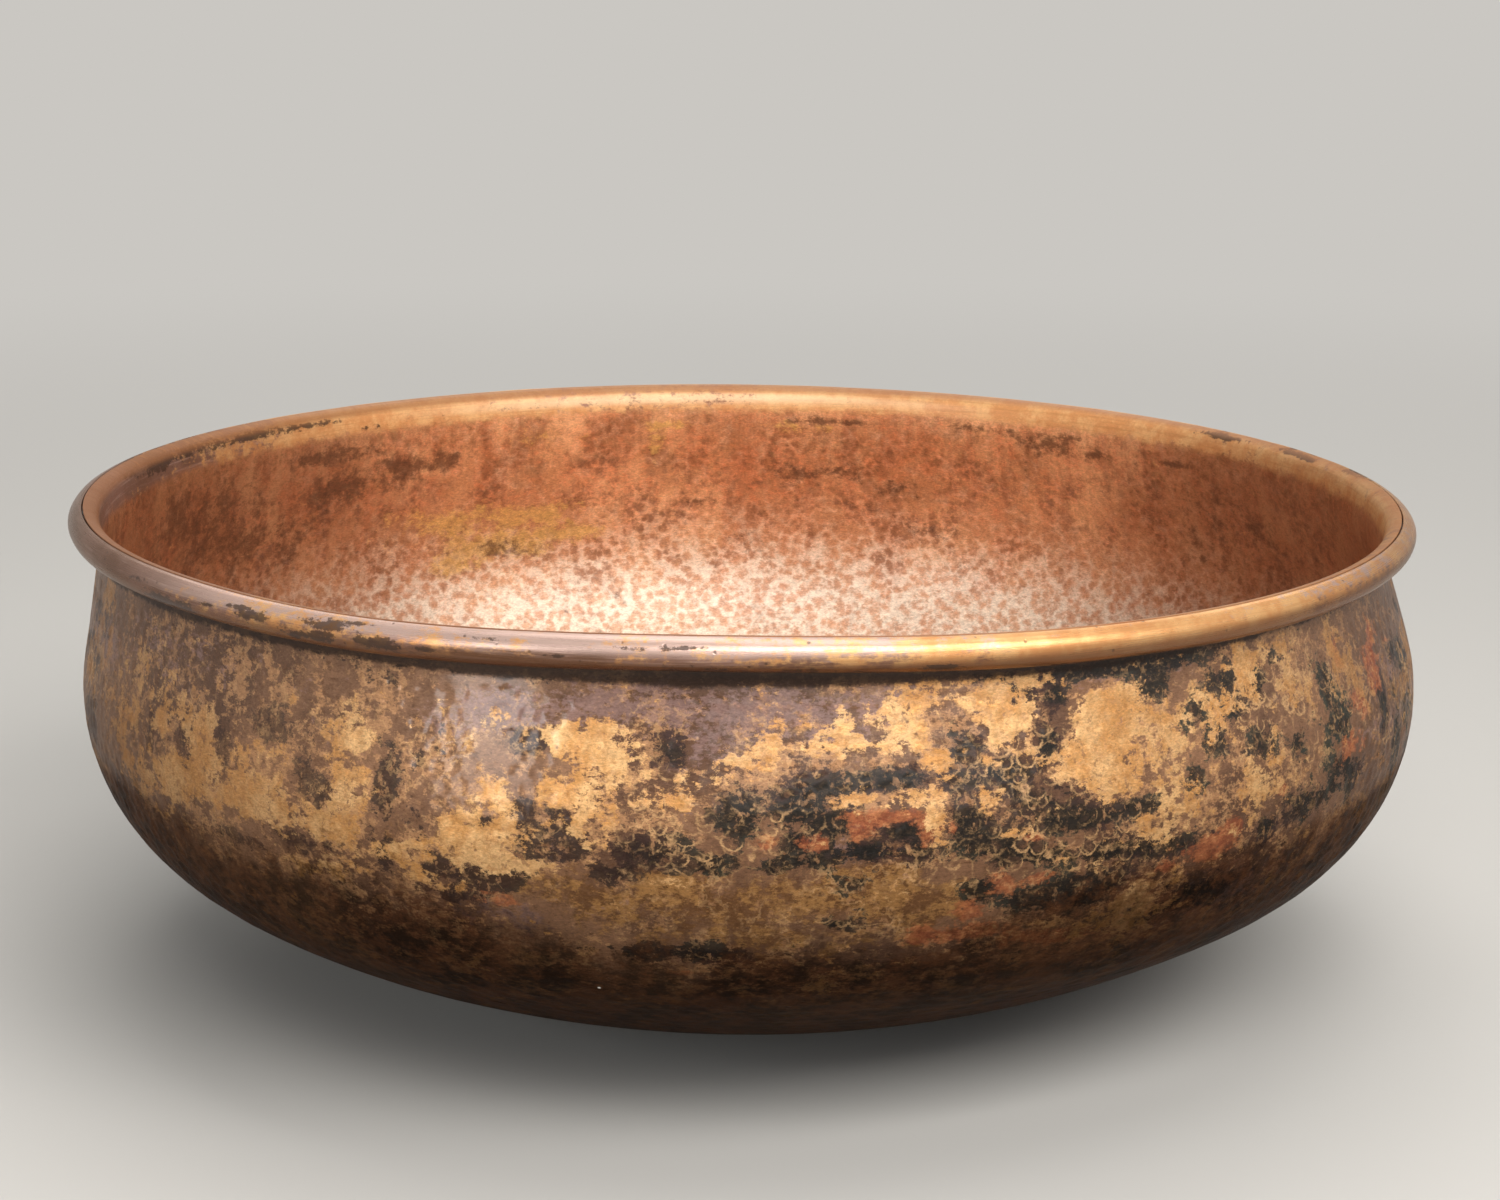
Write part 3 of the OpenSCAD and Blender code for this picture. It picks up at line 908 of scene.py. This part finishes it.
def makeMetalGrain():                 # the grains that the patches, lines and bumps are broken up by
    names = ["Broad", "CoarseA", "CoarseB", "CoarseC", "Net", "Flake", "FineA", "FineB",
             "Speckle", "Brushed", "Runs", "Vein", "Height"]
    tree, given = groupWith("metalGrain", [("Vector", "Vector", None), ("Along", "Vector", None)], names)
    v, along = given["Vector"], given["Along"]
    made = {
        "Broad": noiseOf(v, 20, 4, 0.6),
        "CoarseA": noiseOf(v, 58, 9, 0.72, away=(0.3, 0.1, 0.7)),
        "CoarseB": noiseOf(v, 66, 9, 0.72, away=(0.9, 0.5, 0.2)),
        "CoarseC": noiseOf(v, 75, 9, 0.7, away=(0.2, 0.8, 0.4)),
        "Flake": noiseOf(v, 430, 4, 0.62, (1, 1, 0.8), (0.7, 0.2, 0.5)),
        "FineA": noiseOf(along, 230, 6, 0.74, (1, 1, 1.6), (0.6, 0.3, 0.1)),
        "FineB": noiseOf(along, 300, 6, 0.74, (1, 1, 1.8), (0.1, 0.9, 0.6)),
        "Speckle": noiseOf(along, 800, 4, 0.75, (1, 1, 2.2)),
        "Brushed": noiseOf(along, 30, 6, 0.7, (1, 1, 30)),
        "Runs": noiseOf(along, 120, 6, 0.65, (1, 1, 0.12)),
    }
    curl = noiseOf(v, 150, 4, 0.55, away=(0.5, 0.2, 0.8))
    made["Vein"] = maskOf(mathOf("ABSOLUTE", minus(curl, 0.5)), 0.036, 0.012)
    bend = nodeBy("ShaderNodeTexNoise", {"Vector": v, "Scale": 240.0, "Detail": 3.0}).outputs["Color"]
    inputs = {0: bend, 1: (0.006, 0.006, 0.006), 2: v}
    bent = nodeBy("ShaderNodeVectorMath", inputs, operation="MULTIPLY_ADD")
    made["Net"] = cellsOf(bent.outputs[0], 250.0)[0]["Distance"]
    made["Height"] = plus(times(made["FineA"], 0.6), times(made["Speckle"], 0.25))
    nodeIn(tree, "NodeGroupOutput", made)
    return tree


def makeRaggedEdge():                 # a soft field broken into a crisp, flaking patch
    starts = {"Field": 0.5, "Coarse": 0.5, "Fine": 0.5, "Reach": 2.0,
              "Fine Reach": 1.2, "Softness": 0.05, "Push": 0.0}
    inputs = [(name, "Float", start) for name, start in starts.items()]
    tree, given = groupWith("raggedEdge", inputs, ["Mask"])
    frayed = plus(given["Field"], swingOf(given["Coarse"], given["Reach"]))
    value = plus(frayed, plus(swingOf(given["Fine"], given["Fine Reach"]), given["Push"]))
    mask = maskOf(value, minus(0.5, given["Softness"]), plus(0.5, given["Softness"]))
    nodeIn(tree, "NodeGroupOutput", {"Mask": mask})
    return tree


def cellsOf(vector, scale):           # the nearest scattered centre: its distance, its place and its lots
    made = nodeBy("ShaderNodeTexVoronoi", {"Vector": vector, "Scale": scale}, feature="F1").outputs
    return made, nodeBy("ShaderNodeSeparateColor", {0: made["Color"]}).outputs


def makePits():                       # small pits, rare ring marks and a rarer bright fleck
    inputs = [("Vector", "Vector", None), ("Scale", "Float", 260.0), ("Share", "Float", 0.2)]
    tree, given = groupWith("pitsAndFlecks", inputs, ["Pit", "Ring", "Fleck"])
    near, lots = cellsOf(given["Vector"], given["Scale"])
    wide, wideLots = cellsOf(given["Vector"], 115.0)
    far = wide["Distance"]
    pit = times(mathOf("LESS_THAN", lots[0], given["Share"]), maskOf(near["Distance"], 0.3, 0.1))
    band = times(maskOf(far, 0.07, 0.11), maskOf(far, 0.16, 0.13))
    ring = times(mathOf("LESS_THAN", wideLots[1], 0.06), band)
    fleck = times(mathOf("GREATER_THAN", wideLots[0], 0.988), maskOf(far, 0.07, 0.04))
    nodeIn(tree, "NodeGroupOutput", {"Pit": pit, "Ring": ring, "Fleck": fleck})
    return tree


def makeCrescents():                  # arcs and hollows on the low side of overlapping hammer blows; the arcs are partly worn ridges and partly a painted highlight on the lower edges
    inputs = [("Vector", "Vector", None), ("Fine", "Float", 0.5)]
    tree, given = groupWith("blowCrescents", inputs, ["Arc", "Hollow"])
    arcs, hollows = [], []
    for scale, facing, shift in ((118.0, (-0.45, 0.1, -0.88), (0.0, 0.0, 0.0)),
                                 (150.0, (0.35, 0.0, -0.93), (0.31, 0.12, 0.53))):
        moved = nodeBy("ShaderNodeMapping", {"Vector": given["Vector"], "Location": shift}).outputs[0]
        cell, lots = cellsOf(moved, scale)
        inputs = {0: moved, 1: cell["Position"]}
        way = nodeBy("ShaderNodeVectorMath", inputs, operation="SUBTRACT").outputs[0]
        way = nodeBy("ShaderNodeVectorMath", {0: way}, operation="NORMALIZE").outputs[0]
        side = nodeBy("ShaderNodeVectorMath", {0: way, 1: facing}, operation="DOT_PRODUCT").outputs["Value"]
        far = plus(cell["Distance"], swingOf(given["Fine"], 0.5))
        band = times(maskOf(far, 0.3, 0.36), maskOf(far, 0.43, 0.37))
        kept = mathOf("LESS_THAN", lots[0], 0.88)
        arcs.append(times(band, times(maskOf(side, -0.45, 0.3), kept)))
        hollows.append(times(maskOf(far, 0.36, 0.2), kept))
    nodeIn(tree, "NodeGroupOutput", {"Arc": larger(*arcs), "Hollow": larger(*hollows)})
    return tree


metalGrain = makeMetalGrain()
raggedEdge = makeRaggedEdge()
pitsAndFlecks = makePits()
blowCrescents = makeCrescents()


def patchOf(grain, name, field, push=0.0):  # the frayed mask of one kind of patch
    coarse, fine, reach, fineReach, softness = patchEdges[name]
    inputs = {"Field": field, "Coarse": grain[coarse], "Fine": grain[fine], "Reach": reach,
              "Fine Reach": fineReach, "Softness": softness, "Push": push}
    return useGroup(raggedEdge, inputs)["Mask"]


def fresh(holder):                    # an empty node tree for a material or a world
    holder.use_nodes = True
    holder.node_tree.nodes.clear()
    return holder.node_tree


# finishes; a band is where a change over the height or across the bowl begins and ends, in m

bands = {
    "leftSide": (-0.09, -0.17), "leftHalf": (0.0, -0.06), "sidesShaded": (0.14, 0.215),
    "insideSideShade": (0.1, 0.21), "beadSideShade": (0.15, 0.225),
    "upper": (0.1, 0.14), "lowerShade": (0.06, 0.122), "underBead": (0.1505, 0.1565), "crest": (0.1646, 0.1672),
    "stain": (0.09, 0.12), "highlightRise": (0.022, 0.062), "paleHighlight": (0.136, 0.068), "roseHighlight": (0.078, 0.122),
    "specks": (0.15, 0.1), "brown": (0.07, 0.105),
}


def rimColour(grain, brass, dark, crownHighlight=None, under=None, paleHighlight=None):  # for the bead and the shell's lip; the crown and the palest tone are painted highlights, the under tone painted shade
    plum = blendOf(maskOf(grain["Broad"], 0.35, 0.65), hue("rimPlum"), hue("rimUmber"))
    plum = laid(plum, "rimRose", maskOf(grain["Brushed"], 0.5, 0.66), 0.4)
    plum = laid(plum, "rimRose", crownHighlight, 0.75)
    warm = blendOf(maskOf(grain["CoarseC"], 0.4, 0.6), hue("rimBrass"), hue("rimPale"))
    warm = laid(warm, "rimDeep", maskOf(grain["Brushed"], 0.46, 0.7), 0.4)
    warm = laid(warm, "rimPale", crownHighlight, 0.1)
    warm = laid(warm, "rimHighlight", paleHighlight, 0.62)
    brassy = patchOf(grain, "brass", brass, minus(times(grain["Brushed"], 0.5), 0.25))
    colour = blendOf(brassy, plum, warm)
    # painted shade on the bead's underside
    colour = laid(colour, "rimUnderShade", under, 0.85)
    smear = patchOf(grain, "smear", dark)
    return laid(colour, "rimDark", smear, 0.85), smear


def makeCopper():
    tree = fresh(copperFinish)
    place = nodeIn(tree, "ShaderNodeTexCoord").outputs["Object"]
    along = nodeIn(tree, "ShaderNodeAttribute", attribute_name="alongSheet").outputs["Vector"]
    gold, dark, red = partsOf(tree, "patchA")
    purple, olive, rings = partsOf(tree, "patchB")
    inside, lip, brass = partsOf(tree, "zones")
    ridge, mark, footShade = partsOf(tree, "blows")
    grain = useGroup(metalGrain, {"Vector": place, "Along": along})
    spots = useGroup(pitsAndFlecks, {"Vector": place, "Scale": 420.0, "Share": 0.06})
    arcs = useGroup(blowCrescents, {"Vector": place, "Fine": grain["FineA"]})
    axes = nodeBy("ShaderNodeSeparateXYZ", {0: place}).outputs
    height, across = axes[2], mathOf("ABSOLUTE", axes[0])
    leftSide, leftHalf = (maskOf(axes[0], *bands[name]) for name in ("leftSide", "leftHalf"))
    sideShade, insideSideShade = (maskOf(across, *bands[name]) for name in ("sidesShaded", "insideSideShade"))

    def patch(name, field, push=0.0):
        return patchOf(grain, name, field, push)

    def band(name):
        return maskOf(height, *bands[name])

    swing = swingOf(mark, 0.34)       # each hammer mark takes its patches a little further or less far
    fingers = times(swingOf(grain["Runs"], 1.3), band("upper"))

    # outside: brown ground, olive wash, purple bloom, dark, red, gold, then the worn lines, and painted shade
    # at the foot, toward the bottom and under the bead
    ground = blendOf(maskOf(grain["Broad"], 0.4, 0.6), hue("brownDeep"), hue("brown"))
    ground = laid(ground, "tan", patch("tan", plus(0.36, times(gold, 0.4)), plus(swing, fingers)), 0.8)
    ground = laid(ground, "umber", maskOf(grain["FineB"], 0.45, 0.32), 0.75)
    # painted shade: the ground darkens toward the left and right sides
    ground = laid(ground, "brownDeep", sideShade, 0.62)
    wash = blendOf(patch("wash", 0.5, swing), hue("oliveDeep"), hue("olive"))
    ground = blendOf(times(patch("olive", olive, swing), 0.85), ground, wash)
    ground = laid(ground, "purple", patch("purple", purple), 0.66)
    darkMask = patch("dark", plus(times(dark, 0.9), 0.14), swing)
    darkKind = blendOf(maskOf(grain["Broad"], 0.42, 0.58), hue("darkPurple"), hue("darkGreen"))
    darkKind = laid(darkKind, "dark", maskOf(plus(dark, swingOf(grain["FineA"], 1.5)), 0.34, 0.66))
    darkKind = laid(darkKind, "darkPlum", leftHalf, 0.55)
    outer = blendOf(times(darkMask, minus(0.92, times(leftSide, 0.24))), ground, darkKind)
    redKind = blendOf(maskOf(grain["FineA"], 0.4, 0.6), hue("red"), hue("orange"))
    outer = blendOf(times(patch("red", red, swing), 0.72), outer, redKind)
    goldKind = blendOf(maskOf(grain["CoarseC"], 0.4, 0.62), hue("gold"), hue("goldPale"))
    goldKind = laid(goldKind, "goldDeep", maskOf(grain["FineB"], 0.48, 0.62), 0.6)
    goldKind = laid(goldKind, "brown", maskOf(grain["Flake"], 0.4, 0.34), 0.6)
    goldPush = plus(minus(swing, times(dark, 0.22)), times(fingers, 0.6))
    goldMask = patch("gold", plus(times(gold, 0.78), 0.15), goldPush)
    # gold weakens on the left, and toward the sides as painted shade
    weaker = larger(times(leftSide, 0.35), times(sideShade, 0.62))
    outer = blendOf(times(goldMask, minus(1.0, weaker)), outer, goldKind)
    flakes = times(maskOf(grain["Flake"], 0.56, 0.63), maskOf(grain["CoarseB"], 0.42, 0.6))
    outer = laid(outer, "tan", flakes, 0.6)
    ringed = patch("rings", plus(times(rings, 0.7), 0.14))
    edgeLine = maskOf(plus(ridge, swingOf(grain["FineA"], 2.4)), 0.7, 1.15)
    line = larger(arcs["Arc"], times(edgeLine, 0.6))
    offGold = times(ringed, minus(1.0, goldMask))
    outer = laid(outer, "brownDeep", times(times(arcs["Hollow"], 0.55), offGold))
    outer = laid(outer, "ridge", times(times(line, 0.78), ringed))
    curls = times(grain["Vein"], patch("curls", 0.46, minus(0.0, times(dark, 0.2))))
    outer = laid(outer, "ridge", times(curls, plus(0.3, times(rings, 0.5))))
    flaw = times(larger(spots["Pit"], spots["Ring"]), 0.7)
    outer = laid(outer, "brownDeep", flaw)
    # painted shade: a dark, grained foot
    footShadeGrain = plus(times(grain["CoarseC"], 0.6), times(grain["FineA"], 0.4))
    footShadeKind = blendOf(maskOf(footShadeGrain, 0.42, 0.57), hue("lowDeep"), hue("low"))
    outer = blendOf(times(patch("footShade", footShade, swingOf(grain["Runs"], 0.8)), 0.8), outer, footShadeKind)
    # painted shade: the outside darker towards the bottom
    outer = dimmed(outer, height, *bands["lowerShade"], 0.42, 1.0)
    # painted shadow and grime in the joint under the bead
    grimeAndShade = patch("grimeAndShade", band("underBead"))
    outer = laid(outer, "grimeAndShade", grimeAndShade, 0.88)
    outer = blendOf(spots["Fleck"], outer, fleckColour)

    # inside: red copper with a painted pale highlight toward the floor, brown specks, yellow patches, dark
    # blots and painted shade on the sides
    body = blendOf(maskOf(grain["Broad"], 0.35, 0.65), hue("copper"), hue("copperDeep"))
    body = laid(body, "rose", patch("rose", 0.5, swing), 0.45)
    body = laid(body, "copperRed", patch("copperRed", 0.47, swingOf(grain["Runs"], 1.2)), 0.55)
    stained = patch("stain", plus(0.4, swingOf(grain["Runs"], 1.4)))
    body = laid(body, "insideDark", times(stained, band("stain")), 0.45)
    # painted highlight: the floor pales, in a mottled net, toward the bottom
    highlightRise = plus(0.4, times(band("highlightRise"), 0.45))
    veined = times(minus(grain["Net"], 0.52), 0.8)
    paleHighlight = patch("paleHighlight", times(band("paleHighlight"), highlightRise), veined)
    highlightKind = blendOf(band("roseHighlight"), hue("copperHighlight"), hue("roseHighlight"))
    inner = blendOf(times(paleHighlight, 0.9), body, highlightKind)
    cells = plus(grain["Net"], swingOf(grain["FineB"], 1.1))
    inner = laid(inner, "speck", times(maskOf(cells, 0.74, 0.24), band("specks")), 0.54)
    brownBand = times(band("brown"), maskOf(grain["CoarseA"], 0.46, 0.6))
    inner = laid(inner, "insideDark", times(maskOf(cells, 0.66, 0.26), brownBand), 0.5)
    # painted shade on the inside's left and right walls
    inner = laid(inner, "copperSideShade", insideSideShade, 0.68)
    inner = laid(inner, "yellow", patch("yellow", gold), 0.7)
    inner = laid(inner, "insideDark", patch("blot", dark), 0.75)

    # the lip's own colour, with a painted highlight on the far lip and painted shade on its crest and sides,
    # then one fine grain over all
    edge = rimColour(grain, brass, dark, paleHighlight=purple)[0]
    # painted shade: the lip darkens toward the left and right sides
    edge = laid(edge, "rimDark", sideShade, 0.38)
    # painted shade on the lip's crest
    edge = laid(edge, "rimCrestShade", band("crest"), 0.75)
    lipMask = patch("lip", lip)
    colour = blendOf(inside, outer, blendOf(lipMask, inner, edge))
    fine = plus(times(grain["FineB"], 0.4), times(grain["Speckle"], 0.6))
    smoothed = minus(1.0, times(times(lipMask, 0.7), inside))
    colour = dimmed(colour, fine, 0.38, 0.62, 0.68, 1.24, smoothed)

    # gloss: dark crust and the dark foot are dull, gold is brighter, and the upper wall has a thin sheen
    rough = plus(0.24, plus(times(inside, 0.16), times(grain["FineA"], 0.24)))
    crust = larger(times(larger(darkMask, grimeAndShade), 0.8), maskOf(footShade, 0.0, 0.5))
    bare = minus(1.0, times(times(crust, minus(1.0, inside)), 0.97))
    relief = minus(plus(grain["Height"], times(goldMask, 0.2)), times(flaw, 0.5))
    bump = nodeBy("ShaderNodeBump", {"Height": relief, "Strength": 0.5, "Distance": 0.0005}).outputs[0]
    coat = times(larger(band("upper"), inside), 0.45)
    shader = nodeIn(tree, "ShaderNodeBsdfPrincipled", {
        "Base Color": colour, "Roughness": rough, "Normal": bump, "Specular IOR Level": times(bare, 0.18),
        "Metallic": times(plus(0.3, times(goldMask, 0.2)), bare), "Specular Tint": hue("sheen"),
        "Coat Weight": times(coat, minus(1.0, times(sideShade, 0.7))),
        "Coat Roughness": plus(0.12, times(inside, 0.2))})
    nodeIn(tree, "ShaderNodeOutputMaterial", {"Surface": shader.outputs[0]})


def makeRimFinish():
    tree = fresh(rimFinish)
    place = nodeIn(tree, "ShaderNodeTexCoord").outputs["Object"]
    along = nodeIn(tree, "ShaderNodeAttribute", attribute_name="alongSheet").outputs["Vector"]
    patch, bead = partsOf(tree, "patchA"), partsOf(tree, "bead")
    grain = useGroup(metalGrain, {"Vector": place, "Along": along})
    pit = useGroup(pitsAndFlecks, {"Vector": place, "Scale": 420.0, "Share": 0.08})["Pit"]
    colour, smear = rimColour(grain, patch[0], patch[1], bead[0], bead[1])
    colour = laid(colour, "rimDark", pit, 0.6)
    across = mathOf("ABSOLUTE", nodeBy("ShaderNodeSeparateXYZ", {0: place}).outputs[0])
    # painted shade toward the bead's left and right ends
    colour = laid(colour, "rimDark", maskOf(across, *bands["beadSideShade"]), 0.44)
    rough = plus(0.16, plus(times(grain["Brushed"], 0.25), times(smear, 0.12)))
    relief = plus(times(grain["Brushed"], 0.8), minus(times(grain["Height"], 0.5), pit))
    bump = nodeBy("ShaderNodeBump", {"Height": relief, "Strength": 0.35, "Distance": 0.0004}).outputs[0]
    shader = nodeIn(tree, "ShaderNodeBsdfPrincipled", {
        "Base Color": colour, "Metallic": minus(0.5, times(smear, 0.3)), "Roughness": rough, "Normal": bump,
        "Specular IOR Level": 0.3, "Specular Tint": hue("sheen"),
        "Coat Weight": 0.24, "Coat Roughness": 0.16})
    nodeIn(tree, "ShaderNodeOutputMaterial", {"Surface": shader.outputs[0]})


def makeWireFinish():
    tree = fresh(wireFinish)
    place = nodeIn(tree, "ShaderNodeTexCoord").outputs["Object"]
    rust = maskOf(noiseOf(place, 120, 6), 0.45, 0.6)
    colour = blendOf(rust, hue("iron"), hue("rust"))
    shader = nodeIn(tree, "ShaderNodeBsdfPrincipled", {
        "Base Color": colour, "Metallic": 0.7, "Roughness": plus(0.45, times(rust, 0.3))})
    nodeIn(tree, "ShaderNodeOutputMaterial", {"Surface": shader.outputs[0]})


makeCopper()
makeRimFinish()
makeWireFinish()
print("finishes made")

# floor, backdrop and light

studio = {
    "floorTone": (206, 203, 198), "farTone": (202, 199, 194), "bounceTone": (150, 147, 142),
    "fadeFrom": 0.35, "fadeTo": 1.9,  # m from the bowl, where the floor turns into the backdrop's even tone
    "floorSize": 9.0, "nearEdge": -4.0, "sweepAt": 2.2, "sweepRound": 0.9, "sweepSteps": 12,
    "wallHeight": 3.0,
    "worldLight": 0.2, "worldTone": (232, 232, 232),
    "lamps": {                        # place, aim (m), width, depth, watts, colour
        "keyPanel": ((0.65, -1.4, 1.35), (0.0, 0.0, 0.14), 2.2, 0.9, 40, (1.0, 0.985, 0.96)),
        "topPanel": ((0.1, 0.1, 1.9), (0.0, 0.0, 0.1), 1.7, 1.1, 14, (1.0, 0.99, 0.97)),
        "backPanel": ((0.0, 1.5, 1.35), (0.0, 0.0, 0.1), 2.2, 0.8, 8, (1.0, 0.99, 0.97)),
        "frontStrip": ((0.62, -1.9, 0.38), (0.0, 0.0, 0.15), 1.8, 0.25, 3.5, (1.0, 0.99, 0.97)),
        "sideWindow": ((-1.3, -1.56, 0.52), (-0.05, -0.1, 0.13), 0.5, 0.9, 10.5, (0.94, 0.98, 1.0)),
    },
}


def seenIn(tree):                     # 1 for rays from the camera, from gloss and through glass
    ray = nodeIn(tree, "ShaderNodeLightPath").outputs
    return larger(ray["Is Camera Ray"], larger(ray["Is Glossy Ray"], ray["Is Transmission Ray"]))


def makeFloor():
    s = studio
    reach, bend, tall, half = s["sweepAt"], s["sweepRound"], s["wallHeight"], s["floorSize"] / 2
    turns = np.linspace(0, math.pi / 2, s["sweepSteps"])[1:]
    line = [(s["nearEdge"], 0.0), (reach, 0.0)]
    line += [(reach + bend * math.sin(t), bend * (1 - math.cos(t))) for t in turns]
    line += [(reach + bend, tall)]
    points = [(side, y, z) for y, z in line for side in (-half, half)]
    faces = [(2 * i, 2 * i + 1, 2 * i + 3, 2 * i + 2) for i in range(len(line) - 1)]
    floor = link(meshFrom("studioFloor", points, faces), "studioFloor")
    floor.data.shade_smooth()
    paint = bpy.data.materials.new("paleFloor")
    tree = fresh(paint)
    seen = seenIn(tree)
    colour = blendOf(seen, tone(*s["bounceTone"]), tone(*s["floorTone"]))
    shader = nodeIn(tree, "ShaderNodeBsdfPrincipled", {"Base Color": colour, "Roughness": 0.85})
    glow = nodeIn(tree, "ShaderNodeEmission", {"Color": tone(*s["farTone"]), "Strength": 1.0})
    place = nodeIn(tree, "ShaderNodeTexCoord").outputs["Object"]
    away = nodeBy("ShaderNodeVectorMath", {0: place}, operation="LENGTH").outputs["Value"]
    far = times(maskOf(away, s["fadeFrom"], s["fadeTo"]), seen)
    both = nodeIn(tree, "ShaderNodeMixShader", {0: far, 1: shader.outputs[0], 2: glow.outputs[0]})
    nodeIn(tree, "ShaderNodeOutputMaterial", {"Surface": both.outputs[0]})
    floor.data.materials.append(paint)


def makeLight():
    s = studio
    world = bpy.data.worlds.new("studioWorld")
    bpy.context.scene.world = world
    tree = fresh(world)
    dim = {"Color": tone(*s["worldTone"]), "Strength": s["worldLight"]}
    sky = nodeIn(tree, "ShaderNodeBackground", dim)
    far = nodeIn(tree, "ShaderNodeBackground", {"Color": tone(*s["farTone"]), "Strength": 1.0})
    both = nodeIn(tree, "ShaderNodeMixShader", {0: seenIn(tree), 1: sky.outputs[0], 2: far.outputs[0]})
    nodeIn(tree, "ShaderNodeOutputWorld", {"Surface": both.outputs[0]})
    for name, (place, aim, wide, deep, watts, colour) in s["lamps"].items():
        data = bpy.data.lights.new(name, "AREA")
        data.shape, data.size, data.size_y = "RECTANGLE", wide, deep
        data.energy, data.color = watts, colour
        lamp = bpy.data.objects.new(name, data)
        bpy.context.collection.objects.link(lamp)
        lamp.location = place
        lamp.rotation_euler = (Vector(aim) - Vector(place)).to_track_quat("-Z", "Y").to_euler()


makeFloor()
makeLight()
bpy.context.scene.view_settings.view_transform = "Standard"
print("studio lit")

# pieces and the frame

for piece, node, slot in ((bowlShell, "bowl_shell", "hammered_copper"),
                          (rimStrip, "rim_bead", "rim_copper"), (rimWire, "rim_core", "iron_wire")):
    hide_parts(node)
    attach(piece, "root")


checkBands = {"midWidth": 4, "beadOver": 156, "bellyUnder": 140}  # picture pixels, mm, mm


def checkPoints():                    # how far each named thing shows from its image point, by its vertices; the figures are worked out and not kept
    sheet, rim = pointsOf(shellMesh), pointsOf(rimStrip.data)
    both = np.concatenate([sheet, rim])
    x, y = inPicture(both * mm)
    onRim = np.arange(len(both)) >= len(sheet)
    middle = np.abs(x - imagePoints["beadFrontTop"][0]) < checkBands["midWidth"]
    front = (both[:, 1] < 0) & (both[:, 2] > checkBands["beadOver"]) & onRim & middle
    low = both[:, 2] < checkBands["bellyUnder"]
    anywhere = np.ones(len(both), bool)

    def note(name, chosen, seenX=None, seenY=None):
        if chosen.any():
            wanted = imagePoints[name]
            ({"dx": None if seenX is None else round(float(seenX(x[chosen]) - wanted[0]), 1),
                           "dy": None if seenY is None else round(float(seenY(y[chosen]) - wanted[1]), 1)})

    note("bowlLeft", anywhere, np.min)
    note("bowlRight", anywhere, np.max)
    note("bowlTop", anywhere, None, np.min)
    note("bowlBottom", anywhere, None, np.max)
    note("bellyLeft", low, np.min)
    note("bellyRight", low, np.max)
    note("beadFrontTop", front, None, np.min)
    note("beadFrontUnder", front, None, np.max)
    azimuth = np.degrees(np.arctan2(both[:, 1], both[:, 0]))
    inner = np.concatenate([pointValues(shellMesh, "inside") > 0.5, np.zeros(len(rim), bool)])
    for name, patch in marked.items():
        piece, kind = marks[name][:2]
        near = awayFrom(patch, azimuth, both[:, 2]) < 1
        note(name, near & (onRim == (piece == "rim")) & (inner == (kind == "insideDark")), np.mean, np.mean)


checkPoints()
